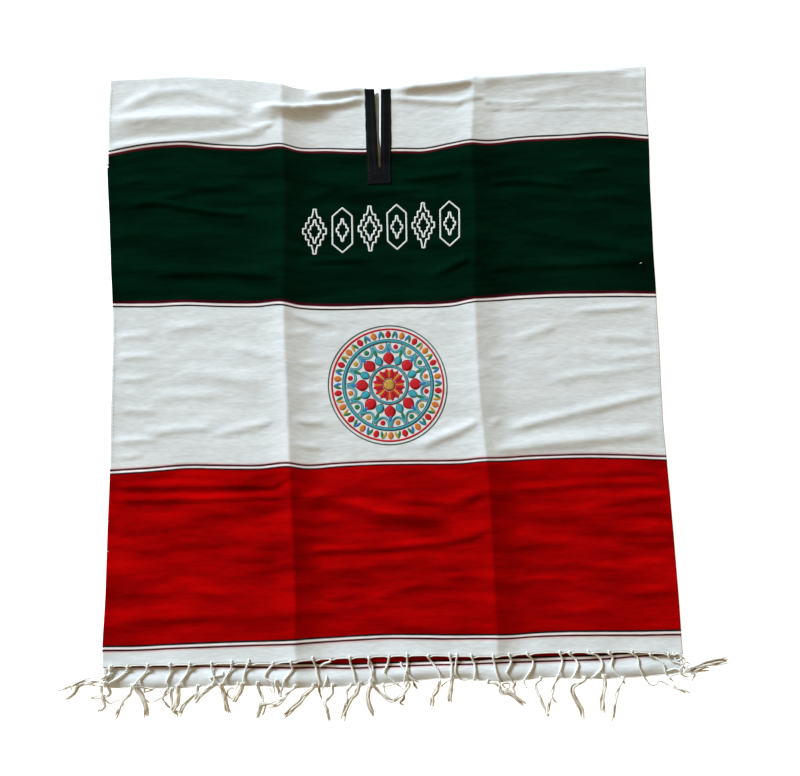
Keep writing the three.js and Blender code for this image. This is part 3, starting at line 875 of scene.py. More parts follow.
def tubeFaces(count, sides, closed):
    # Outward faces round a tube of rings, and a fan at each end to the two points that follow the rings
    rings = np.arange(count * sides).reshape(count, sides)
    after = np.roll(rings, -1, 0)
    if not closed:
        rings, after = rings[:-1], after[:-1]
    quads = np.stack([rings, np.roll(rings, -1, 1), np.roll(after, -1, 1), after], -1).reshape(-1, 4)
    if closed:
        return quads, np.zeros((0, 3), int)
    first = np.arange(sides)
    last = first + (count - 1) * sides
    start, end = np.full(sides, count * sides), np.full(sides, count * sides + 1)
    fans = [np.stack([start, np.roll(first, -1), first], -1), np.stack([end, last, np.roll(last, -1)], -1)]
    return quads, np.concatenate(fans)


class Gathered:
    # Gathers stitched lines, patches and yarns into one mesh.
    def __init__(self):
        self.points, self.quads, self.fans, self.uvs, self.colours, self.count = [], [], [], [], [], 0

    def add(self, points, quads, fans, uvs, colours):
        self.points.append(points)
        self.quads.append(quads + self.count)
        self.fans.append(fans + self.count)
        self.uvs.append(uvs)
        colours = np.broadcast_to(colours, (len(points), 3))
        self.colours.append(np.column_stack([colours, np.ones(len(points))]))
        self.count += len(points)

    def tube(self, rings, stations, wide, colours, closed=False):
        # rings is a grid of points, one row for each place along; colours is one colour or one for each row.
        count, sides = rings.shape[:2]
        around = np.abs(np.arange(sides) / sides * 2 - 1) * wide
        uvs = np.stack(np.broadcast_arrays(around[None], stations[:, None]), -1).reshape(-1, 2)
        colours = np.repeat(np.broadcast_to(colours, (count, 3)), sides, 0)
        points = rings.reshape(-1, 3)
        if not closed:
            ends = [0, -1]
            points = np.concatenate([points, rings[ends].mean(1)])
            uvs = np.concatenate([uvs, uvs[ends]])
            colours = np.concatenate([colours, colours[ends]])
        self.add(points, *tubeFaces(count, sides, closed), uvs * mm, colours)

    def line(self, way, width, colour, closed=False, lift=0.0):
        # A low oval cord carried along the way; its places are worked out sideways on the plan.
        way = np.asarray(way, float)
        if closed:
            way = np.concatenate([way, way[:1]])
        run = runLengths(way)
        stations = np.linspace(0, run[-1], max(int(run[-1] / stitching["step"]), 4) + 1)
        at = np.stack([np.interp(stations, run, way[:, 0]), np.interp(stations, run, way[:, 1])], -1)
        if closed:
            at, stations = at[:-1], stations[:-1]
            ahead = np.roll(at, -1, 0) - np.roll(at, 1, 0)
        else:
            ahead = np.gradient(at, axis=0)
        side = toLeft(ahead)
        angle = np.arange(8) * np.pi / 4
        reach, high = np.cos(angle) * width / 2, np.sin(angle) * stitching["line"]
        plan = at[:, None] + side[:, None] * reach[None, :, None]
        high = np.broadcast_to(high + lift, plan.shape[:2])
        points = onFront(plan[..., 0].ravel(), plan[..., 1].ravel(), high.ravel())
        self.tube(points.reshape(*plan.shape[:2], 3), stations, width, thread[colour], closed)

    def patch(self, plan, colour):
        # A cushion of satin stitches over a grid of plan places, highest in its middle
        tall, wide = plan.shape[:2]
        s, t = np.meshgrid(np.linspace(-1, 1, wide), np.linspace(-1, 1, tall))
        domed = np.sqrt(np.clip((1 - s**2) * (1 - t**6), 0, 1))
        high = stitching["patchRim"] + stitching["patch"] * domed
        flat = plan[..., 0].ravel(), plan[..., 1].ravel()
        outer = onFront(*flat, high.ravel()).reshape(tall, wide, 3)
        inner = onFront(*flat, np.full(high.size, -stitching["sunk"])).reshape(tall, wide, 3)
        middle = plan[tall // 2, wide // 2]
        across = plan[tall // 2, wide // 2 - 1] - middle
        along = plan[tall // 2 - 1, wide // 2] - middle
        if across[0] * along[1] - across[1] * along[0] > 0:
            outer, inner = outer[:, ::-1], inner[:, ::-1]
        points, faces = shell(outer, inner, np.ones((tall - 1, wide - 1), bool))
        uvs = np.tile(np.stack([s * 6, t * 12], -1).reshape(-1, 2) * mm, (2, 1))
        self.add(points, faces, np.zeros((0, 3), int), uvs, thread[colour])

    def finish(self, name):
        faces = [np.concatenate(self.quads), np.concatenate(self.fans)]
        uvs, colours = np.concatenate(self.uvs), np.concatenate(self.colours)
        piece = putMesh(name, np.concatenate(self.points), faces, uvs, colours)
        print(name + ":", len(piece.data.polygons), "faces")
        return piece


# The row of outlined motifs across the chest: stepped lozenges and tall hexagons by turns
motifs = {
    "count": 6,
    "pitch": 50.5,
    "middle": (1, 261),
    "rise": 0.034,
    "halfWidth": 21,
    "halfHeight": 43,
    "steps": 4,
    "line": 3.2,
    "innerSteps": 3,
    "inLozenge": 0.52,
    "inHexagon": 0.5,
}


def steppedLozenge(halfWidth, halfHeight, steps):
    # One quarter climbs in equal steps from the side point to the top point, and the rest mirror it.
    k = np.arange(steps)
    treadX, treadY = halfWidth / steps, halfHeight / steps
    corner = np.stack([halfWidth - k * treadX, (k + 0.5) * treadY], -1)
    inner = np.stack([halfWidth - (k + 1) * treadX, (k + 0.5) * treadY], -1)
    quarter = np.stack([corner, inner], 1).reshape(-1, 2)[:-1]
    top = np.array([[treadX * 0.5, halfHeight - treadY * 0.5], [treadX * 0.5, halfHeight]])
    quarter = np.concatenate([quarter[:-1], top])
    upper = np.concatenate([quarter, quarter[::-1] * (-1, 1)])
    return np.concatenate([upper, upper[::-1] * (1, -1)])


def tallHexagon(halfWidth, halfHeight):
    angle = np.radians([0, 55, 90, 125, 180, 235, 270, 305])
    shape = np.stack([np.cos(angle) * halfWidth, np.sin(angle) * halfHeight], -1)
    shape[[1, 3, 5, 7], 0] = np.array([1, -1, -1, 1]) * halfWidth * 0.86
    shape[[1, 3, 5, 7], 1] = np.array([1, 1, -1, -1]) * halfHeight * 0.62
    shape[[0, 4], 0] = np.array([1, -1]) * halfWidth * 0.86
    return shape


def makeMotifs():
    sewn = Gathered()
    w, h = motifs["halfWidth"], motifs["halfHeight"]
    for k in range(motifs["count"]):
        x = motifs["middle"][0] + (k - (motifs["count"] - 1) / 2) * motifs["pitch"]
        y = motifs["middle"][1] + x * motifs["rise"]
        lozenge = k % 2 == 0
        outer = steppedLozenge(w, h, motifs["steps"]) if lozenge else tallHexagon(w, h)
        small = motifs["inLozenge" if lozenge else "inHexagon"]
        for outline in (outer, steppedLozenge(w * small, h * small, motifs["innerSteps"])):
            sewn.line(outline + (x, y), motifs["line"], "white", closed=True)
    return sewn.finish("chest_motifs")


# The round design: a wreath, scallops and a flower, worked out from rings about its middle
rosette = {
    "middle": (4, -36),
    "rings": [
        (110, 2.1, "darkGreen"), (103.5, 3.6, "red"), (84.6, 1.3, "navy"), (82, 3.8, "turquoise"),
        (79.2, 1.3, "navy"), (37, 1.3, "darkRed"), (34.6, 3.2, "turquoise"), (32.2, 1.1, "navy"),
    ],
    "flowers": 22,
    "wreathTurn": 0.092,
    "wreathLean": 0.045,
    "scallops": 16,
    "scallopFoot": 77,
    "scallopRise": 16,
    "scallopHalf": 0.96,  # as a share of half the step from one to the next
    "lining": 2.8,
    "liningHalf": 0.78,
    "petals": 8,
    "seeds": 6,
    "hub": 11,
}

# Satin leaves: from and to which radius, half width, and colours by turns
leaves = {
    "flower": (86.5, 101, 5.6, "red", "orange"),
    "flowerHeart": (89, 98, 2.1, "pink", "white"),
    "wreathLeaf": (86, 101, 2.9, "green", "blue", "green", "ochre"),
    "underScallops": (54, 70, 3.2, "green", "blue"),
    "petal": (38, 62, 10, "red"),
    "petalHeart": (42, 56, 3.4, "pink"),
    "sepal": (38.5, 57, 6.4, "turquoise"),
    "sepalHeart": (41, 53, 2.8, "paleTurquoise"),
    "innerPetal": (11, 31, 4.8, "red"),
    "innerStripe": (12, 29, 3.6, "orange", "ochre"),
    "innerSepal": (12, 27, 2.6, "darkRed"),
}

# Satin discs: at which radius, size, and colours by turns
discs = {
    "berry": (71.5, 4.8, "red", "ochre", "green", "orange"),
    "berryHeart": (71.5, 1.9, "white"),
    "middle": (0, 10.5, "ochre"),
    "seed": (6, 1.9, "red"),
    "middleHeart": (0, 2.6, "white"),
}

# Stitched edges of leaves: from and to which radius, half width, width of the line, and its colour
leafEdges = {"petal": (38, 62, 10.4, 1.2, "darkRed"), "sepal": (38, 57, 6.8, 1.1, "navy")}


def polar(radius, angle):
    x, y = rosette["middle"]
    return np.stack([x + radius * np.sin(angle), y + radius * np.cos(angle)], -1)


def swollen(share, halfWidth, blunt=0.8):
    return halfWidth * np.sin(np.pi * share) ** blunt


def addLeaf(sewn, name, k, angle, lean=0.0, blunt=0.8):
    # The leaf's width swells as a sine to a power, and it leans as it goes out.
    inner, outer, halfWidth, *colours = leaves[name]
    t, s = np.meshgrid(np.linspace(0.02, 0.98, 9), np.linspace(-1, 1, 5), indexing="ij")
    radius = inner + (outer - inner) * t
    swell = s * swollen(t, halfWidth, blunt)
    plan = polar(np.hypot(radius, swell), angle + lean * t + np.arctan2(swell, radius))
    sewn.patch(plan, colours[k % len(colours)])


def addLeafEdge(sewn, name, angle, side):
    inner, outer, halfWidth, width, colour = leafEdges[name]
    t = np.linspace(0.02, 0.98, 15)
    radius = inner + (outer - inner) * t
    sewn.line(polar(radius, angle + side * np.arctan2(swollen(t, halfWidth), radius)), width, colour)


def addDisc(sewn, name, k, angle):
    # A square grid pressed into a disc
    radius, size, *colours = discs[name]
    s, t = np.meshgrid(np.linspace(-1, 1, 7), np.linspace(-1, 1, 7))
    x, y = size * s * np.sqrt(1 - t * t / 2), size * t * np.sqrt(1 - s * s / 2)
    sewn.patch(polar(radius, angle) + np.stack([x, y], -1), colours[k % len(colours)])


def makeRosette():
    sewn = Gathered()
    turn = np.linspace(0, 2 * np.pi, 181)[:-1]
    for radius, width, colour in rosette["rings"]:
        sewn.line(polar(radius, turn), width, colour, closed=True)
    for k in range(rosette["flowers"]):
        angle = 2 * np.pi * k / rosette["flowers"]
        addLeaf(sewn, "flower", k, angle, blunt=0.55)
        addLeaf(sewn, "flowerHeart", k, angle)
        for side in (-1, 1):
            turned = angle + side * rosette["wreathTurn"]
            addLeaf(sewn, "wreathLeaf", k, turned, lean=side * rosette["wreathLean"])
    bow = np.linspace(-1, 1, 15)
    arch = rosette["scallopFoot"] - rosette["scallopRise"] * np.sqrt(1 - bow**2)
    for k in range(rosette["scallops"]):
        half = np.pi / rosette["scallops"]
        angle = (2 * k + 1) * half
        sewn.line(polar(arch, angle + bow * half * rosette["scallopHalf"]), 3.4, "turquoise")
        lining = polar(arch + rosette["lining"], angle + bow * half * rosette["liningHalf"])
        sewn.line(lining, 1.1, "navy")
        addDisc(sewn, "berry", k, angle)
        addDisc(sewn, "berryHeart", k, angle)
        addLeaf(sewn, "underScallops", k, angle + half)
    for k in range(rosette["petals"]):
        half = np.pi / rosette["petals"]
        angle = 2 * k * half
        addLeaf(sewn, "petal", k, angle)
        addLeaf(sewn, "petalHeart", k, angle)
        for side in (-1, 1):
            addLeafEdge(sewn, "petal", angle, side)
            addLeafEdge(sewn, "sepal", angle + half, side)
            addLeaf(sewn, "innerPetal", k, angle + side * half / 2)
        addLeaf(sewn, "sepal", k, angle + half)
        addLeaf(sewn, "sepalHeart", k, angle + half)
        addLeaf(sewn, "innerStripe", k, angle)
        addLeaf(sewn, "innerSepal", k, angle + half)
    addDisc(sewn, "middle", 0, 0)
    sewn.line(polar(rosette["hub"], turn[::4]), 1.4, "darkRed", closed=True)
    for k in range(rosette["seeds"]):
        addDisc(sewn, "seed", k, 2 * np.pi * k / rosette["seeds"])
    addDisc(sewn, "middleHeart", 0, 0)
    return sewn.finish("round_embroidery")


def threadMaterial(name, roughness):
    material, tree, shader = newMaterial(name, roughness, 0.12, 0.04)
    colour = node(tree, "Attribute", {}, attribute_name="thread")["Color"]
    strands = speckle(tree, ownPlace(tree), (60, 1400), 2)
    finish(tree, shader, scaled(tree, colour, stretch(tree, strands, 0.82, 1.12)), strands, 0.5, 0.0003)
    return material


# Rows of running stitches: inside the selvages of the white bands, and round the neck tape
seams = {
    "inset": 5.5,
    "pitch": 7.0,
    "length": 3.4,
    "width": 0.9,
    "sunk": 0.25,
    "bands": [(446, 548), (-168, 98)],
    "tapeInset": 3.2,
    "tapePitch": 4.6,
    "tapeLength": 2.9,
    "tapeSunk": 0.3,
    "blockLow": 346,
    "blockTop": 367,
    "blockNarrower": 2,
    "straightFrom": 428,
    "top": 520,
    "besideSlit": [(-9, -13), (7, 11)],  # from the block's top to the fold
}


def stitchRow(sewn, start, end, pitch, length, colour, lift):
    start, end = np.array(start, float), np.array(end, float)
    ahead = (end - start) / np.hypot(*(end - start))
    for at in np.arange(pitch / 2, np.hypot(*(end - start)) - length, pitch):
        sewn.line([start + ahead * at, start + ahead * (at + length)], seams["width"], colour, lift=lift)


def makeSeams():
    sewn = Gathered()
    for side in (-1, 1):
        u = side * (cloth["halfWidth"] - seams["inset"])
        for low, high in seams["bands"]:
            stitchRow(sewn, (u, low), (u, high), seams["pitch"], seams["length"], "grey", -seams["sunk"])
    mid, reach = slit["middle"], tape["half"] - seams["tapeInset"]
    low, blockTop, top = seams["blockLow"] + seams["tapeInset"], seams["blockTop"], seams["top"]
    sides = [(mid - tape["lean"] + side * (reach - seams["blockNarrower"]), mid + side * reach)
             for side in (-1, 1)]
    rows = [((block, low), (block, blockTop)) for block, straight in sides]
    rows += [((block, blockTop), (straight, seams["straightFrom"])) for block, straight in sides]
    rows += [((straight, seams["straightFrom"]), (straight, top)) for block, straight in sides]
    rows += [((sides[0][0], y), (sides[1][0], y)) for y in (low, blockTop)]
    rows += [((mid + near, blockTop), (mid + far, top)) for near, far in seams["besideSlit"]]
    lift = tape["gap"] + tape["thick"] - seams["tapeSunk"]
    for start, end in rows:
        stitchRow(sewn, start, end, seams["tapePitch"], seams["tapeLength"], "tapeThread", lift)
    return sewn.finish("running_stitches")


satin = threadMaterial("satinThread", 0.62)
stitches = makeSeams()
chest = makeMotifs()
roundel = makeRosette()
for piece in (stitches, chest, roundel):
    piece.data.materials.append(satin)
print("embroidery made")


# The fringes: yarns that leave the hems, each laid in turn on what is already there.
# A kind has its number of strands, the radius of a strand, the sideways gap, the length of a twist, the
# spread at the end, and the colours at the root and at the end; a tan or brown end colour is painted shade.
kinds = {
    "twisted": (2, 1.2, 0.0, 8.5, 1.0, "bleached", "bleached"),
    "bunch": (5, 1.75, 1.6, 130, 0.95, "cream", "tan"),
    "ribbon": (3, 1.6, 1.6, 80, 1.0, "bleached", "cream"),
    "lone": (1, 1.6, 0.0, 30, 0.0, "bleached", "cream"),
    # The brown kind: cream strands painted tan to brown, painted shadow.
    "brown": (2, 1.25, 0.8, 24, 1.0, "tan", "brown"),
}

# Bleached and cream are the yarns' own colours; tan and brown are cream yarn in painted shade.
yarnTone = {
    "bleached": (0.90, 0.88, 0.82),
    "cream": (0.84, 0.78, 0.68),
    "tan": (0.68, 0.58, 0.46),
    "brown": (0.34, 0.28, 0.21),
}

# Each tie: its kind, then the points x, y of its way from the hem
frontTies = [
    ("ribbon", -498, -526, -501, -537, -517, -544, -544, -548, -580, -558, -603, -566),
    ("twisted", -469, -527, -476, -537, -504, -552, -523, -555, -538, -553),
    ("twisted", -434, -525, -437, -534, -449, -547, -458, -557),
    ("twisted", -394, -524, -394, -537, -400, -551, -402, -560),
    ("twisted", -360, -525, -366, -540, -377, -554, -380, -561),
    ("twisted", -322, -525, -321, -537, -316, -549, -319, -559),
    ("twisted", -286, -523, -288, -534, -297, -548, -304, -560),
    ("twisted", -256, -522, -261, -532, -265, -547, -267, -562),
    ("twisted", -214, -528, -223, -537, -228, -549, -216, -558, -209, -586),
    ("twisted", -182, -526, -180, -537, -194, -555, -197, -567, -203, -584),
    ("twisted", -144, -521, -139, -534, -137, -546, -130, -568),
    ("twisted", -113, -526, -126, -530, -135, -538),
    ("twisted", -79, -522, -77, -533, -72, -548, -70, -563, -65, -568),
    ("twisted", -46, -523, -40, -534, -39, -547, -45, -562),
    ("lone", -45, -525, -46, -533, -42, -543, -40, -553),
    ("twisted", -10, -523, -13, -535, -19, -547, -9, -558, 18, -579),
    ("twisted", 22, -520, 22, -536, 18, -553, 15, -573),
    ("twisted", 59, -523, 66, -533, 77, -548, 79, -559, 77, -569),
    ("twisted", 97, -522, 100, -536, 99, -551, 97, -563),
    ("lone", 110, -522, 107, -541, 107, -553, 117, -563, 139, -563),
    ("twisted", 135, -524, 140, -536, 141, -550, 139, -563, 151, -564),
    ("twisted", 173, -526, 176, -541, 179, -557, 184, -572),
    ("twisted", 202, -525, 206, -533, 200, -546, 196, -554, 205, -567, 211, -574),
    ("twisted", 234, -524, 244, -534, 242, -547, 227, -569, 231, -579, 239, -584),
    ("twisted", 292, -523, 296, -534, 294, -546, 282, -569),
    ("twisted", 309, -525, 320, -535, 323, -545, 310, -570, 304, -576),
    ("twisted", 342, -524, 358, -529, 366, -540, 364, -552, 346, -568, 348, -572),
    ("twisted", 379, -526, 386, -533, 382, -547, 388, -557, 402, -574),
    ("twisted", 420, -527, 430, -536, 431, -552, 449, -581, 459, -583, 466, -576, 491, -588),
    ("twisted", 452, -532, 465, -538, 475, -549, 478, -562, 494, -582, 495, -589),
    ("twisted", 484, -533, 490, -542, 504, -547, 515, -557, 525, -562),
    ("ribbon", -504, -551, -519, -548, -552, -554, -563, -567, -581, -583),
    ("lone", -505, -544, -523, -540, -555, -548, -567, -556, -565, -561, -559, -557),
    ("lone", -501, -528, -508, -527, -510, -533, -506, -539, -516, -542),
    ("lone", 493, -532, 502, -530, 508, -537, 500, -542, 497, -537, 505, -535, 514, -542, 503, -559, 508,
     -567, 519, -571, 530, -565),
    ("lone", 479, -560, 486, -558, 498, -556, 508, -563, 520, -559, 529, -553),
    ("lone", 484, -573, 491, -567, 513, -563, 524, -563),
    ("lone", 507, -548, 516, -545, 524, -551, 520, -559, 513, -557, 518, -551, 529, -553),
    ("bunch", 517, -559, 531, -553, 546, -547, 566, -545, 591, -542),
    ("twisted", 515, -556, 533, -551, 551, -544, 590, -538),
    ("ribbon", 519, -562, 535, -555, 552, -551, 590, -547),
    ("lone", 526, -563, 539, -560, 551, -556, 563, -556),
    ("lone", 523, -565, 537, -562, 560, -561),
    ("lone", 522, -563, 530, -568, 526, -574, 524, -583),
]

backTies = [
    ("ribbon", -502, -555, -499, -569, -508, -574, -532, -575),
    ("ribbon", -515, -557, -511, -581, -510, -591, -521, -601),
    ("lone", -508, -579, -500, -586, -484, -581, -477, -587, -480, -593, -488, -590),
    ("ribbon", -459, -558, -465, -572, -476, -581, -486, -602, -494, -616),
    ("bunch", -456, -559, -448, -568, -441, -581, -437, -595, -436, -615),
    ("ribbon", -453, -563, -443, -576, -433, -589),
    ("lone", -440, -569, -431, -567, -420, -564),
    ("lone", -455, -558, -442, -560, -430, -563, -419, -563),
    ("lone", -398, -562, -401, -568, -391, -570, -389, -564, -396, -563, -398, -572, -427, -587),
    ("brown", -401, -567, -407, -580, -402, -590, -387, -603),
    ("ribbon", -392, -568, -392, -592, -388, -602, -380, -607, -380, -613),
    ("bunch", -381, -562, -380, -576, -383, -591, -390, -602),
    ("ribbon", -346, -564, -347, -571, -367, -589, -379, -610),
    ("bunch", -319, -561, -331, -569, -343, -578, -351, -589),
    ("lone", -326, -563, -337, -570, -349, -588),
    ("lone", -302, -543, -315, -545, -325, -548, -321, -553, -314, -558),
    ("bunch", -305, -561, -301, -572, -298, -589, -293, -610),
    ("lone", -305, -564, -303, -579, -300, -591),
    ("bunch", -268, -562, -271, -573, -278, -582, -283, -591),
    ("lone", -276, -561, -280, -568, -287, -566, -294, -571, -293, -580, -285, -584, -282, -569),
    ("ribbon", -241, -561, -239, -570, -233, -585, -235, -597, -245, -624),
    ("ribbon", -208, -558, -205, -569, -202, -581, -196, -587),
    ("ribbon", -175, -568, -187, -576, -202, -594, -222, -600),
    ("ribbon", -194, -586, -212, -590, -229, -595, -250, -597),
    ("lone", -219, -573, -214, -576, -211, -581),
    ("ribbon", -238, -595, -240, -607, -244, -617),
    ("lone", -227, -596, -231, -609, -236, -618),
    ("bunch", -142, -567, -157, -581, -170, -595, -183, -606, -199, -619),
    ("brown", -134, -568, -133, -577, -129, -592),
    ("lone", -120, -555, -123, -563, -127, -571, -127, -578),
    ("ribbon", -110, -569, -110, -580, -124, -596, -121, -609, -116, -631),
    ("bunch", -62, -567, -68, -581, -80, -593, -87, -605, -94, -627),
    ("ribbon", -77, -569, -85, -578, -86, -589, -89, -605),
    ("bunch", -43, -568, -47, -582, -48, -596, -44, -609, -35, -620),
    ("ribbon", -44, -563, -33, -574, -21, -588, -10, -595, -1, -595, 11, -586),
    ("lone", -20, -571, -18, -583, -5, -596),
    ("lone", -22, -571, -10, -570, 1, -567, 12, -567),
    ("brown", 23, -565, 18, -576, 14, -594, 8, -600, 20, -608),
    ("ribbon", 25, -572, 14, -584, 3, -591, -8, -595),
    ("brown", 32, -565, 35, -572, 40, -579),
    ("lone", 11, -536, 18, -544, 29, -558, 42, -566),
    ("bunch", 77, -569, 73, -581, 65, -591, 64, -602, 61, -613),
    ("lone", 99, -561, 90, -567, 76, -579),
    ("bunch", 100, -565, 98, -578, 96, -590, 95, -604),
    ("ribbon", 163, -569, 175, -571, 184, -578, 186, -587, 195, -590, 206, -585),
    ("lone", 184, -572, 183, -580, 190, -585, 200, -581, 201, -573, 189, -575, 208, -591),
    ("bunch", 195, -585, 206, -592, 218, -602, 231, -612),
    ("brown", 212, -573, 208, -581, 210, -589, 206, -595),
    ("ribbon", 256, -568, 249, -574, 250, -589, 263, -620, 266, -631),
    ("ribbon", 288, -567, 280, -575, 277, -589, 267, -618, 266, -631),
    ("lone", 275, -596, 278, -603, 285, -609),
    ("bunch", 334, -569, 325, -575, 313, -581, 312, -592, 319, -609, 326, -624, 327, -637),
    ("bunch", 369, -567, 370, -580, 366, -594, 363, -608, 364, -630),
    ("lone", 365, -566, 372, -567, 377, -570),
    ("ribbon", 403, -572, 395, -585, 388, -603, 384, -623, 378, -647),
    ("lone", 400, -571, 404, -577, 407, -583),
    ("ribbon", 491, -588, 504, -592, 519, -599),
]


# Knots: the place, the way the tie runs there in degrees, and the knot's radius
frontKnots = [(491, -587, -10, 2.6), (-227, -545, -100, 2.1), (104, -553, -60, 2.0), (515, -558, 20, 3.2)]
backKnots = [
    (-502, -556, -80, 2.6), (-531, -575, 180, 2.4), (-456, -561, -60, 3.0), (-381, -565, -90, 3.2),
    (-322, -563, -140, 3.0), (-304, -564, -80, 3.2), (-268, -565, -100, 3.0), (-240, -564, -85, 2.6),
    (-145, -570, -135, 3.2), (-110, -572, -90, 2.4), (-64, -571, -110, 3.2), (-43, -571, -95, 3.2),
    (65, -591, -95, 2.8), (99, -569, -95, 3.0), (196, -586, -40, 3.2), (266, -628, -90, 2.4),
    (331, -571, -150, 3.0), (369, -571, -90, 3.2), (401, -575, -120, 2.4),
]

ties = {
    "step": 1.9,
    "pile": 7,
    "tuck": 5,
    "root": 2.0,
    "wander": 0.5,
    "pair": 1.7,  # how much thicker a twisted pair is than one strand
    "turned": 0.72,
    "openFrom": 0.72,
    "thinFrom": 0.85,
    "thinned": 0.55,
}
knotted = {"winding": 0.8, "turns": 2.6, "ends": 0.72, "long": 1.9, "flat": 0.8, "sunk": 1.6}
cord = {
    "step": 1.6,
    "out": 1.5,
    "ply": 0.75,
    "pitch": 6.2,
    "aside": 0.62,
    "above": 0.5,
    "sunk": 0.4,
    "onBack": 1.35,
}
upward = np.array([0, 0, 1])
ground = {"left": -640, "low": -700, "wide": 1281, "tall": 200}


def restingPlace():
    # Heights of what a yarn would rest on, on a millimetre grid: the front, the back or the floor
    x, y = np.meshgrid(ground["left"] + np.arange(ground["wide"]), ground["low"] + np.arange(ground["tall"]))
    x, y = x.ravel().astype(float), y.ravel().astype(float)
    u = flatAcross(x, y)
    inside = np.abs(u) < cloth["halfWidth"]
    onBack = inside & (y > readTable(u, across["x"], across["back"]))
    onTop = inside & (y > readTable(u, across["x"], across["front"]))
    height = np.where(onBack, cloth["wall"] + backLift(u, y), 0)
    height = np.where(onTop, 2 * foldRadius + frontLift(u, y), height)
    return height.reshape(ground["tall"], ground["wide"])


resting = restingPlace()
bareHeight = resting.copy()


def settle(way, radius, height):
    # Each place rests on the highest thing under the yarn, and then becomes part of what later ones rest on,
    # up to the height to which a pile of yarns is pressed together.
    column = np.rint(way[:, 0] - ground["left"]).astype(int)
    row = np.rint(way[:, 1] - ground["low"]).astype(int)
    rest = np.zeros(len(way))
    lag = int(4 * radius / ties["step"]) + 2
    for k in range(len(way) + lag):
        if k < len(way):
            rest[k] = height[row[k], column[k]]
        if k >= lag:
            past = k - lag
            around = np.s_[row[past] - 1:row[past] + 2, column[past] - 1:column[past] + 2]
            top = np.minimum(rest[past] + ties["pair"] * radius, bareHeight[around] + ties["pile"])
            height[around] = np.maximum(height[around], top)
    padded = np.pad(rest, 2, mode="edge")
    highest = np.max([padded[k:k + len(rest)] for k in range(5)], axis=0)
    padded = np.pad(highest, 4, mode="edge")
    weights = np.array([1, 2, 4, 5, 6, 5, 4, 2, 1]) / 30
    return radius + sum(weight * padded[k:k + len(rest)] for k, weight in enumerate(weights))


def sweep(centre, radius, reference=upward):
    # Rings of a round yarn about a path in space, the first point of each towards the side
    ahead = np.gradient(centre, axis=0)
    ahead /= np.linalg.norm(ahead, axis=1)[:, None]
    side = np.cross(reference, ahead)
    side /= np.linalg.norm(side, axis=1)[:, None]
    up = np.cross(ahead, side)
    angle = np.arange(6) * np.pi / 3
    reach = np.broadcast_to(radius, len(centre))[:, None, None]
    ring = side[:, None] * np.cos(angle)[None, :, None] + up[:, None] * np.sin(angle)[None, :, None]
    return centre[:, None] + reach * ring


def addTie(yarns, kind, way, height, draw):
    strands, radius, gap, twist, spread, rootTone, endTone = kinds[kind]
    rootTone, endTone = np.array(yarnTone[rootTone]), np.array(yarnTone[endTone])
    way = np.reshape(way, (-1, 2)).astype(float)
    run = runLengths(way)
    stations = np.linspace(0, run[-1], max(int(run[-1] / ties["step"]), 6) + 1)
    at = np.stack([readTable(stations, run, way[:, 0]), readTable(stations, run, way[:, 1])], -1)
    tucked = at[:1] + np.outer(np.linspace(ties["tuck"], 0, 4)[:-1], [0, 1])
    at = np.concatenate([tucked, at])
    stations = runLengths(at)
    side = toLeft(np.gradient(at, axis=0))
    share = stations / stations[-1]
    opened = np.clip((share - ties["openFrom"]) / (1 - ties["openFrom"]), 0, 1) ** 2
    sunk = ties["root"] * np.clip(1 - stations / ties["tuck"], 0, 1) ** 2
    if strands <= 2:
        core = settle(at, radius * (ties["pair"] if strands == 2 else 1), height)
    for k in range(strands):
        phase = 2 * np.pi * (k / strands + stations / twist) + draw.uniform(0, 0.6)
        cut = len(at) - draw.integers(0, 2 + len(at) // 9)
        wave = draw.uniform(24, 44)
        wander = ties["wander"] * np.sin(stations / wave * 2 * np.pi + draw.uniform(0, 6)) * (strands > 1)
        if strands <= 2:
            turned = radius * ties["turned"] * (strands - 1) * (1 - 0.6 * opened)
            apart = (k - (strands - 1) / 2) * (gap + 2 * spread * opened)
            place = at + side * (turned * np.cos(phase) + apart + wander * opened)[:, None]
            high = core + turned * np.sin(phase)
        else:
            # The strands lie side by side, and splay towards the end.
            spot = np.cos(2 * np.pi * (k + 0.5) / (2 * strands) + 0.5 * np.sin(phase))
            splay = 0.75 + (spread - 0.75) * np.maximum(opened, 0.3 * share)
            place = at + side * (gap * strands / 2 * spot * splay + wander)[:, None]
            high = settle(place, radius, height)
        centre = np.column_stack([place, high - sunk])[:cut]
        late = (stations[:cut] / stations[cut - 1] - ties["thinFrom"]) / (1 - ties["thinFrom"])
        slim = radius * (1 - ties["thinned"] * np.clip(late, 0, 1) ** 2)
        centre[:, 2] = np.maximum(centre[:, 2], slim + 0.05)
        # Towards its end each strand darkens to its end tone: painted shade where that tone is tan or brown.
        shadeToEnd = np.clip(share[:cut] * draw.uniform(0.7, 1.3) - 0.1, 0, 1)
        tone = (rootTone + np.outer(shadeToEnd, endTone - rootTone)) * draw.uniform(0.9, 1.06)
        yarns.tube(sweep(centre, slim), stations[:cut], radius * 3, tone)


def addKnot(yarns, x, y, heading, radius, height):
    # A yarn wound about two and a half times round the tie, drawn in at both ends
    turn, winding = np.radians(heading), knotted["winding"]
    axis = np.array([np.cos(turn), np.sin(turn), 0])
    side = np.array([-np.sin(turn), np.cos(turn), 0])
    s = np.linspace(0, 1, 40)
    around = 2 * np.pi * knotted["turns"] * s
    wide = radius * (knotted["ends"] + (1 - knotted["ends"]) * np.sin(np.pi * s))
    low = height[int(round(y - ground["low"])), int(round(x - ground["left"]))]
    low = max(low - knotted["sunk"] * radius, 0) + radius * knotted["flat"] + winding
    along = (s - 0.5) * radius * knotted["long"]
    centre = np.array([x, y, low]) + np.outer(along, axis) + np.outer(wide * np.cos(around), side)
    centre[:, 2] = np.maximum(centre[:, 2] + wide * np.sin(around) * knotted["flat"], winding)
    yarns.tube(sweep(centre, winding, axis), along + 10, 2, yarnTone["cream"])


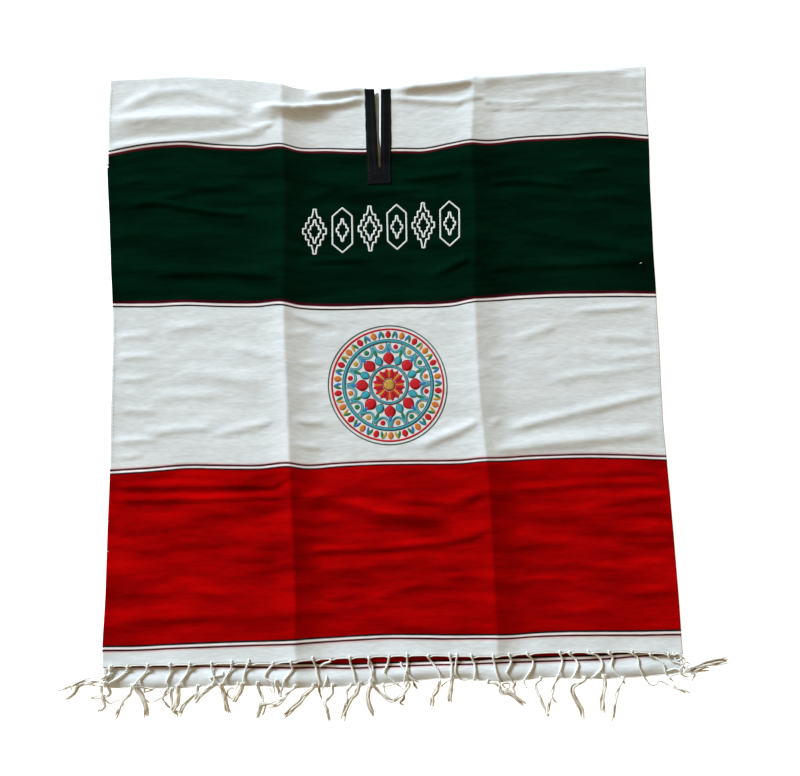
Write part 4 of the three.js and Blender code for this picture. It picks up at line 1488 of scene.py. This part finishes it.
def addHemCord(yarns, layer):
    # The two-ply edge cord of a hem
    half = cloth["halfWidth"]
    u = np.linspace(-half, half, int(2 * half / cord["step"]))
    y = readTable(u, across["x"], across[layer])
    if layer == "front":
        high = 2 * foldRadius - cord["sunk"] + frontLift(u, y)
        y = y - hemPull(u)
    else:
        high = cord["onBack"] + backLift(u, y)
    centre = np.column_stack([u + drift(u, y), y + cord["out"], high])
    for k in range(2):
        phase = 2 * np.pi * (u / cord["pitch"]) + k * np.pi
        offset = [np.zeros_like(u), cord["aside"] * np.cos(phase), cord["above"] * np.sin(phase)]
        yarns.tube(sweep(centre + np.stack(offset, -1), cord["ply"]), u + 600, 2.4, yarnTone["bleached"])


# Weft ends at the side edges: place, heading in degrees, length
nubs = [
    (-505, -270, 190, 6), (-505, -324, 165, 5), (512, -246, 15, 6), (511, -313, -20, 5), (478, 181, 20, 3),
]


def addNub(yarns, x, y, heading, length):
    turn = np.radians(heading)
    s = np.linspace(-0.4, 1, 8)
    way = np.array([x, y]) + np.outer(s * length, [np.cos(turn), np.sin(turn)])
    high = 2 * foldRadius - cord["sunk"] + frontLift(flatAcross(*way.T), way[:, 1])
    high = high + np.sin(np.pi * np.clip(s, 0, 1))
    yarns.tube(sweep(np.column_stack([way, high]), 0.6), s * length, 2, yarnTone["bleached"])


def makeFringe(name, rows, knots, layer, seed):
    yarns = Gathered()
    draw = np.random.default_rng(seed)
    for kind, *way in rows:
        addTie(yarns, kind, way, resting, draw)
    for knot in knots:
        addKnot(yarns, *knot, resting)
    addHemCord(yarns, layer)
    if layer == "front":
        for nub in nubs:
            addNub(yarns, *nub)
    return yarns.finish(name)


yarnMaterial = threadMaterial("tieYarn", 0.9)
backFringe = makeFringe("back_fringe_yarns", backTies, backKnots, "back", 3)
frontFringe = makeFringe("front_fringe_yarns", frontTies, frontKnots, "front", 4)
for fringe, solid in ((backFringe, "back_fringe"), (frontFringe, "front_fringe")):
    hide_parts(solid)
    fringe.data.materials.append(yarnMaterial)
print("fringes made")
